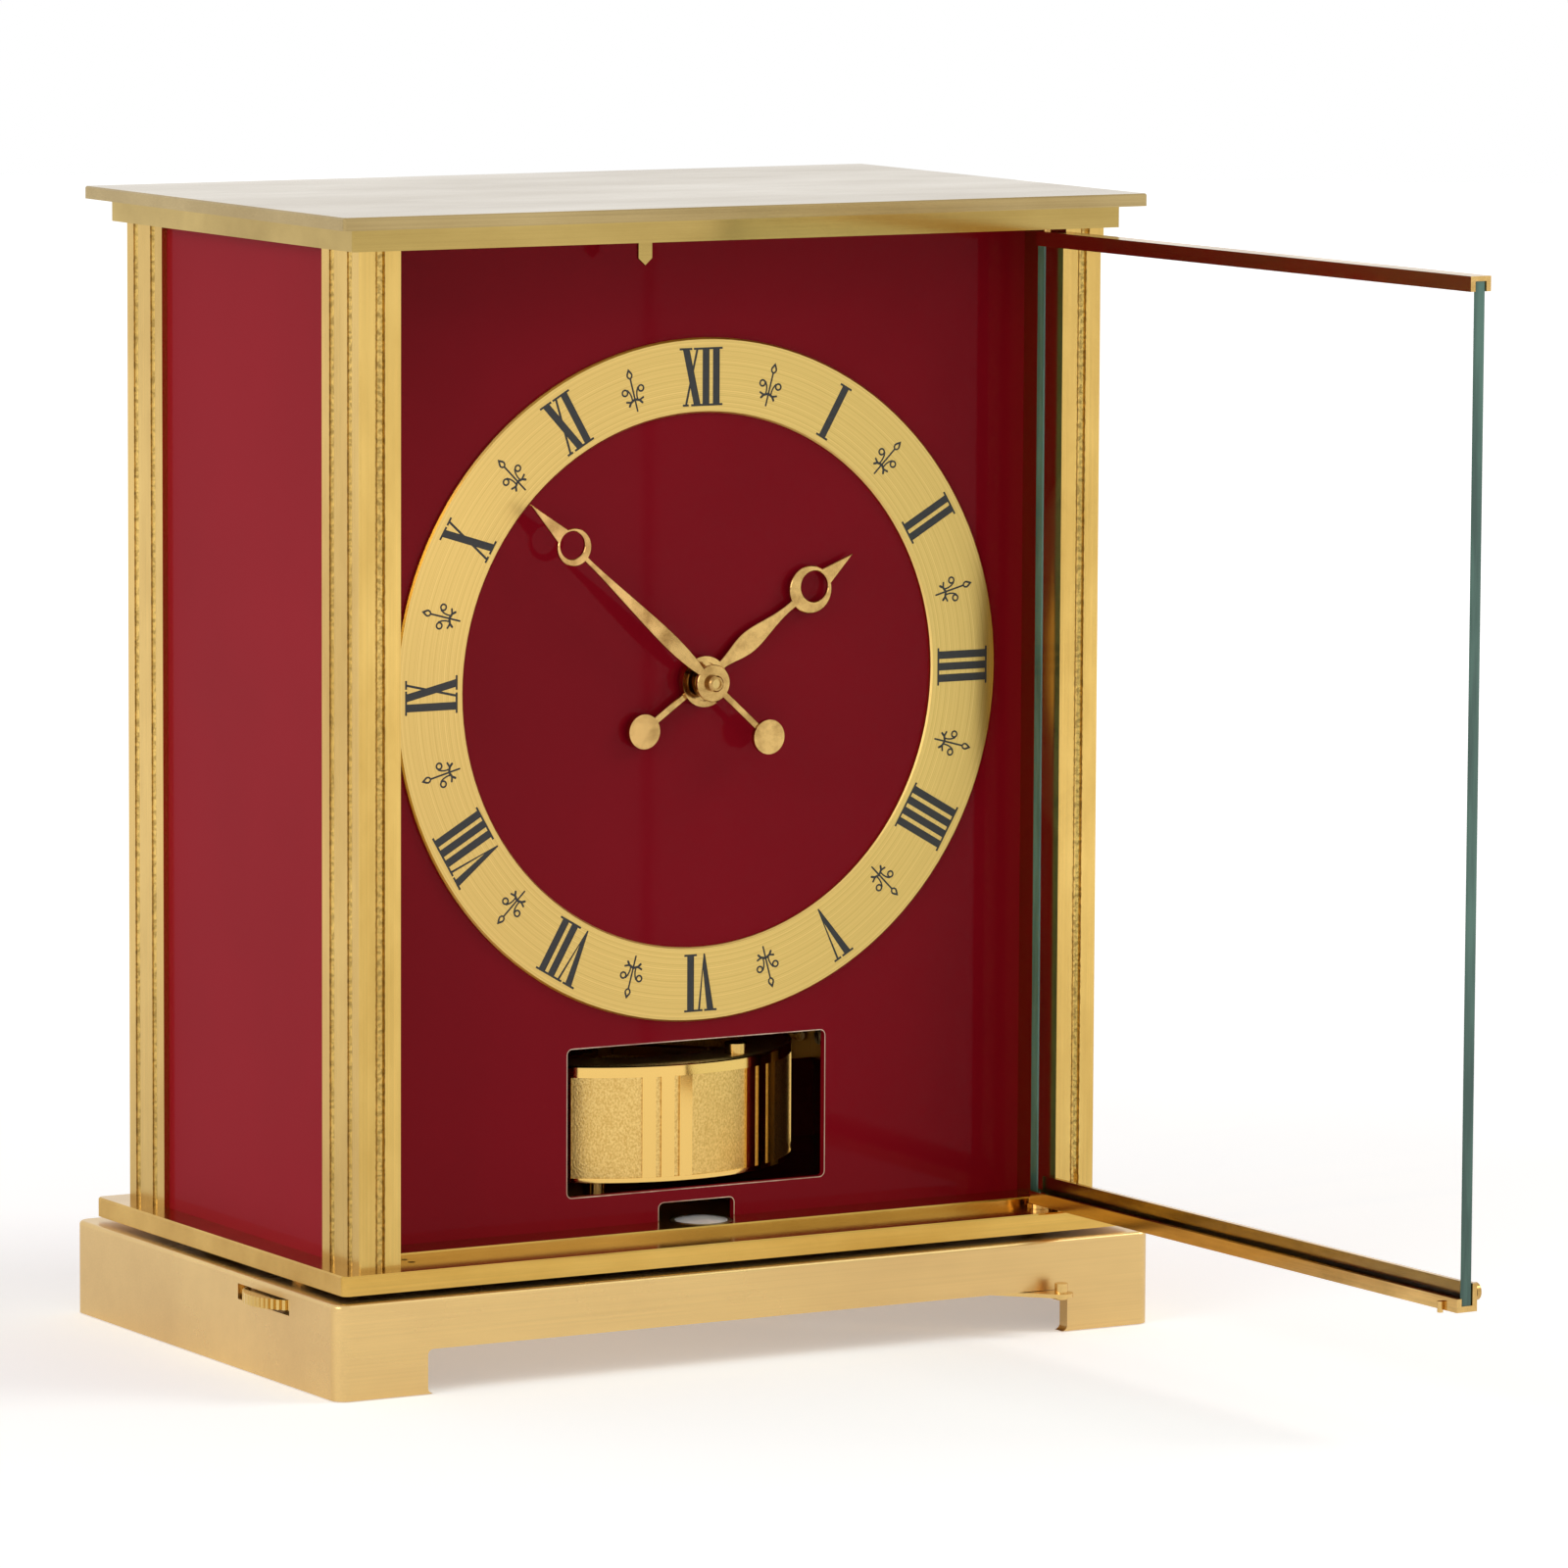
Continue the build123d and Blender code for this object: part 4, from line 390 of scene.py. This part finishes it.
# The torsion pendulum: a heavy gilt ring on a spider, hung from a thin wire. The band between
# its lips is grained by punching, the lips, the flat bars and the small weights are polished.
PENDULUM_AXIS_Y = sum(corner.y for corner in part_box("pendulum_ring")) / 2
PENDULUM_REACH = (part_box("pendulum_ring")[1].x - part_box("pendulum_ring")[0].x) / 2
BAND_REACH = PENDULUM_REACH - 0.00024
BARS_REACH = PENDULUM_REACH - 0.00018
gilt_ring, gilt_tree, gilt_shader = new_material("pendulum_gilt")
gilt_shader.inputs["Metallic"].default_value = 1.0
gilt_place = add(gilt_tree, "TexCoord")
gilt_shift = add(gilt_tree, "VectorMath", operation="SUBTRACT")
gilt_shift.inputs[1].default_value = (0.0, PENDULUM_AXIS_Y, 0.0)
gilt_flat = add(gilt_tree, "VectorMath", operation="MULTIPLY")
gilt_flat.inputs[1].default_value = (1.0, 1.0, 0.0)
gilt_reach = add(gilt_tree, "VectorMath", operation="LENGTH")
gilt_tree.links.new(gilt_place.outputs["Object"], gilt_shift.inputs[0])
gilt_tree.links.new(gilt_shift.outputs["Vector"], gilt_flat.inputs[0])
gilt_tree.links.new(gilt_flat.outputs["Vector"], gilt_reach.inputs[0])
polished = remap(gilt_tree, gilt_reach.outputs["Value"], BAND_REACH, BARS_REACH, 0.0, 1.0)
punch = grain_noise(gilt_tree, (2600.0, 2600.0, 2000.0), detail=2.0, roughness=0.5)
gilt_tree.links.new(remap(gilt_tree, polished, 0.0, 1.0, 0.34, 0.09), gilt_shader.inputs["Roughness"])
gilt_share = remap(gilt_tree, punch, 0.35, 0.65, 0.0, 1.0)
gilt_tone = blend_colours(gilt_tree, gilt_share, (0.62, 0.39, 0.11), (0.82, 0.57, 0.20))
gilt_all = blend_colours(gilt_tree, polished, gilt_tone, (0.78, 0.51, 0.155))
gilt_tree.links.new(gilt_all, gilt_shader.inputs["Base Color"])
gilt_bump = add(gilt_tree, "Bump", Distance=0.00012)
gilt_tree.links.new(remap(gilt_tree, polished, 0.0, 1.0, 0.55, 0.0), gilt_bump.inputs["Strength"])
gilt_tree.links.new(punch, gilt_bump.inputs["Height"])
gilt_tree.links.new(gilt_bump.outputs["Normal"], gilt_shader.inputs["Normal"])
dress(gilt_ring, "pendulum_ring")
weight_gilt = brushed_brass(
    "weight_gilt", (0.80, 0.54, 0.18), (0.62, 0.39, 0.11), 0.16, 2, relief=0.04
)
dress(weight_gilt, "pendulum_weights", "pendulum_carrier", "pendulum_arbor")

# The hands: stamped from brass sheet, bevelled, domed hubs, gilt and polished. A small nut
# holds them on the centre arbor.
hand_gilt, hand_tree, hand_shader = new_material("hand_gilt")
hand_shader.inputs["Metallic"].default_value = 1.0
hand_shader.inputs["Roughness"].default_value = 0.13
hand_cloud = grain_noise(hand_tree, (220.0, 220.0, 220.0), detail=4.0)
hand_share = remap(hand_tree, hand_cloud, 0.4, 0.7, 0.0, 1.0)
hand_tone = blend_colours(hand_tree, hand_share, (0.60, 0.37, 0.135), (0.32, 0.175, 0.055))
hand_tree.links.new(hand_tone, hand_shader.inputs["Base Color"])
hand_bump = add(hand_tree, "Bump", Strength=0.05, Distance=0.00008)
hand_tree.links.new(hand_cloud, hand_bump.inputs["Height"])
hand_tree.links.new(hand_bump.outputs["Normal"], hand_shader.inputs["Normal"])
dress(hand_gilt, "hour_hand", "minute_hand", "hand_nut")

# The frieze and the top: two brass plates, screwed together from below and brushed lengthwise.
# The frieze also carries the door stop, a small pointed tab.
frieze_brass = brushed_brass(
    "frieze_brass", (0.52, 0.37, 0.12), (0.38, 0.26, 0.075), 0.11, 0,
    lines=0.06, relief=0.05, blotch_size=0.03,
)
dress(frieze_brass, "frieze_plate", "door_stop")
top_brass = brushed_brass(
    "top_brass", (0.52, 0.39, 0.18), (0.38, 0.27, 0.11), 0.16, 0,
    lines=0.20, relief=0.10, blotch_size=0.03,
)
dress(top_brass, "top_plate")

# The lock lever: a flat brass blade with an upright pin, which turns on a stud under the floor
# plate and lifts a plunger against the pendulum. It is polished, as are the back panel's screws.
small_brass = brushed_brass("small_brass", (0.82, 0.58, 0.24), (0.70, 0.46, 0.16), 0.18, 0)
dress(small_brass, "lock_lever", "lock_plunger", "back_panel_screws")

# The door: one pane of float glass held in two folded brass channels, which turn on pins in
# the floor and the frieze. Seen edge on, the glass is green.
door_brass = brushed_brass(
    "door_brass", (0.80, 0.53, 0.20), (0.52, 0.32, 0.10), 0.16, 1, lines=0.14, blotch_size=0.012
)
dress(door_brass, "door_top_channel", "door_bottom_channel", "door_knob", "door_pins")
glass, glass_tree, glass_shader = new_material("door_glass")
DOOR_TURN = radians(92.0)
glass_shader.inputs["Base Color"].default_value = (1.0, 1.0, 1.0, 1.0)
glass_shader.inputs["Roughness"].default_value = 0.0
glass_shader.inputs["IOR"].default_value = 1.12
glass_shader.inputs["Transmission Weight"].default_value = 1.0
glass_output = glass_tree.nodes["Material Output"]
glass_path = add(glass_tree, "LightPath")
glass_clear = add(glass_tree, "BsdfTransparent", Color=(0.93, 0.96, 0.94, 1.0))
glass_mix = add(glass_tree, "MixShader")
glass_seen = add(glass_tree, "Math", operation="MAXIMUM")
glass_tree.links.new(glass_path.outputs["Is Camera Ray"], glass_seen.inputs[0])
glass_tree.links.new(glass_path.outputs["Is Transmission Ray"], glass_seen.inputs[1])
glass_tree.links.new(glass_seen.outputs["Value"], glass_mix.inputs["Fac"])
glass_tree.links.new(glass_clear.outputs["BSDF"], glass_mix.inputs[1])
glass_tree.links.new(glass_shader.outputs["BSDF"], glass_mix.inputs[2])
edge_shader = add(glass_tree, "BsdfPrincipled", Roughness=0.22)
edge_streaks = grain_noise(glass_tree, (300.0, 300.0, 25.0), detail=3.0)
edge_share = remap(glass_tree, edge_streaks, 0.35, 0.65, 0.0, 1.0)
edge_tone = blend_colours(glass_tree, edge_share, (0.035, 0.09, 0.07), (0.09, 0.20, 0.155))
glass_tree.links.new(edge_tone, edge_shader.inputs["Base Color"])
glass_place = add(glass_tree, "TexCoord")
glass_facing = add(glass_tree, "VectorMath", operation="DOT_PRODUCT")
glass_facing.inputs[1].default_value = (sin(DOOR_TURN), -cos(DOOR_TURN), 0.0)
glass_tree.links.new(glass_place.outputs["Normal"], glass_facing.inputs[0])
glass_flatness = add(glass_tree, "Math", operation="ABSOLUTE")
glass_tree.links.new(glass_facing.outputs["Value"], glass_flatness.inputs[0])
glass_all = add(glass_tree, "MixShader")
on_pane = remap(glass_tree, glass_flatness.outputs["Value"], 0.85, 0.90, 0.0, 1.0)
glass_tree.links.new(on_pane, glass_all.inputs["Fac"])
glass_tree.links.new(edge_shader.outputs["BSDF"], glass_all.inputs[1])
glass_tree.links.new(glass_mix.outputs["Shader"], glass_all.inputs[2])
glass_tree.links.new(glass_all.outputs["Shader"], glass_output.inputs["Surface"])
dress(glass, "door_glass")

# The studio: a round white table in a white surround, lit by two large soft lamps. To the eye,
# straight, mirrored or through glass, both are paler than the light that they give, and the
# table keeps the clock's shadow.
FLOOR_REACH = 4.0
FLOOR_DROP = 0.0002
SHADOW_REACH = 0.30
WHITE_REACH = 1.20
NEAR_GLOW = 0.32
FAR_GLOW = 0.60


def seen_as_background(tree):
    """1 for what the camera sees, straight, mirrored or through glass, and 0 for plain light."""
    path = add(tree, "LightPath")
    share = path.outputs["Is Camera Ray"]
    for kind in ("Is Glossy Ray", "Is Transmission Ray"):
        most = add(tree, "Math", operation="MAXIMUM")
        tree.links.new(share, most.inputs[0])
        tree.links.new(path.outputs[kind], most.inputs[1])
        share = most.outputs["Value"]
    return share


floor_mesh = bpy.data.meshes.new("studio_floor")
floor_form = bmesh.new()
bmesh.ops.create_circle(floor_form, cap_ends=True, segments=96, radius=FLOOR_REACH)
floor_form.to_mesh(floor_mesh)
floor_form.free()
floor = bpy.data.objects.new("studio_floor", floor_mesh)
scene.collection.objects.link(floor)
floor.location = (0.0, 0.0, -FLOOR_DROP)
floor_material, floor_tree, floor_shader = new_material("studio_white")
floor_shader.inputs["Roughness"].default_value = 0.9
floor_shader.inputs["Specular IOR Level"].default_value = 0.1
floor_place = add(floor_tree, "TexCoord")
floor_away = add(floor_tree, "VectorMath", operation="LENGTH")
floor_tree.links.new(floor_place.outputs["Object"], floor_away.inputs[0])
floor_shader.inputs["Base Color"].default_value = (0.93, 0.93, 0.93, 1.0)
floor_shader.inputs["Emission Color"].default_value = (1.0, 1.0, 1.0, 1.0)
floor_glow = remap(
    floor_tree, floor_away.outputs["Value"], SHADOW_REACH, WHITE_REACH, NEAR_GLOW, FAR_GLOW
)
floor_seen = add(floor_tree, "Math", operation="MULTIPLY")
floor_tree.links.new(seen_as_background(floor_tree), floor_seen.inputs[0])
floor_tree.links.new(floor_glow, floor_seen.inputs[1])
floor_tree.links.new(floor_seen.outputs["Value"], floor_shader.inputs["Emission Strength"])
floor_mesh.materials.append(floor_material)

world = bpy.data.worlds.new("studio")
scene.world = world
world.use_nodes = True
world_tree = world.node_tree
world_tree.nodes.clear()
world_light = add(world_tree, "Background", Color=(1.0, 0.99, 0.97, 1.0), Strength=0.55)
world_white = add(world_tree, "Background", Color=(1.0, 1.0, 1.0, 1.0), Strength=1.0)
world_mix = add(world_tree, "MixShader")
world_output = add(world_tree, "OutputWorld")
world_tree.links.new(seen_as_background(world_tree), world_mix.inputs["Fac"])
world_tree.links.new(world_light.outputs["Background"], world_mix.inputs[1])
world_tree.links.new(world_white.outputs["Background"], world_mix.inputs[2])
world_tree.links.new(world_mix.outputs["Shader"], world_output.inputs["Surface"])


LAMP_AIM = Vector((0.0, 0.0, 0.12))


def soft_lamp(name, place, size, power):
    """A square soft lamp that points at the middle of the clock."""
    data = bpy.data.lights.new(name, "AREA")
    data.shape = "SQUARE"
    data.size = size
    data.energy = power
    lamp = bpy.data.objects.new(name, data)
    lamp.location = place
    lamp.rotation_euler = (LAMP_AIM - Vector(place)).to_track_quat("-Z", "Y").to_euler()
    scene.collection.objects.link(lamp)


soft_lamp("key_lamp", (1.7, -0.9, 1.35), 0.9, 16.0)
soft_lamp("fill_lamp", (-1.9, -0.6, 0.9), 1.2, 12.0)

# The camera: a long lens on a stand, a little above the clock and to its left, tipped by a
# third of a degree, as it stood when the clock was pictured.
YAW = radians(-30.02)
PITCH = radians(6.96)
ROLL = radians(0.29)
EYE = Vector((-0.97185, -1.75259, 0.35666))
IMAGE_SIDE = 1600.0
FOCAL_PIXELS = 9945.17
back = Vector((sin(YAW) * cos(PITCH), -cos(YAW) * cos(PITCH), sin(PITCH)))
side = Vector((0.0, 0.0, 1.0)).cross(back).normalized()
rise = back.cross(side)
camera_x = cos(ROLL) * side + sin(ROLL) * rise
camera_y = cos(ROLL) * rise - sin(ROLL) * side
camera_data = bpy.data.cameras.new("photo_camera")
camera_data.sensor_width = 36.0
camera_data.lens = camera_data.sensor_width * FOCAL_PIXELS / IMAGE_SIDE
camera_data.clip_start = 0.01
camera = bpy.data.objects.new("photo_camera", camera_data)
camera_turn = Matrix((camera_x, camera_y, back)).transposed()
camera.matrix_world = Matrix.Translation(EYE) @ camera_turn.to_4x4()
scene.collection.objects.link(camera)
scene.camera = camera
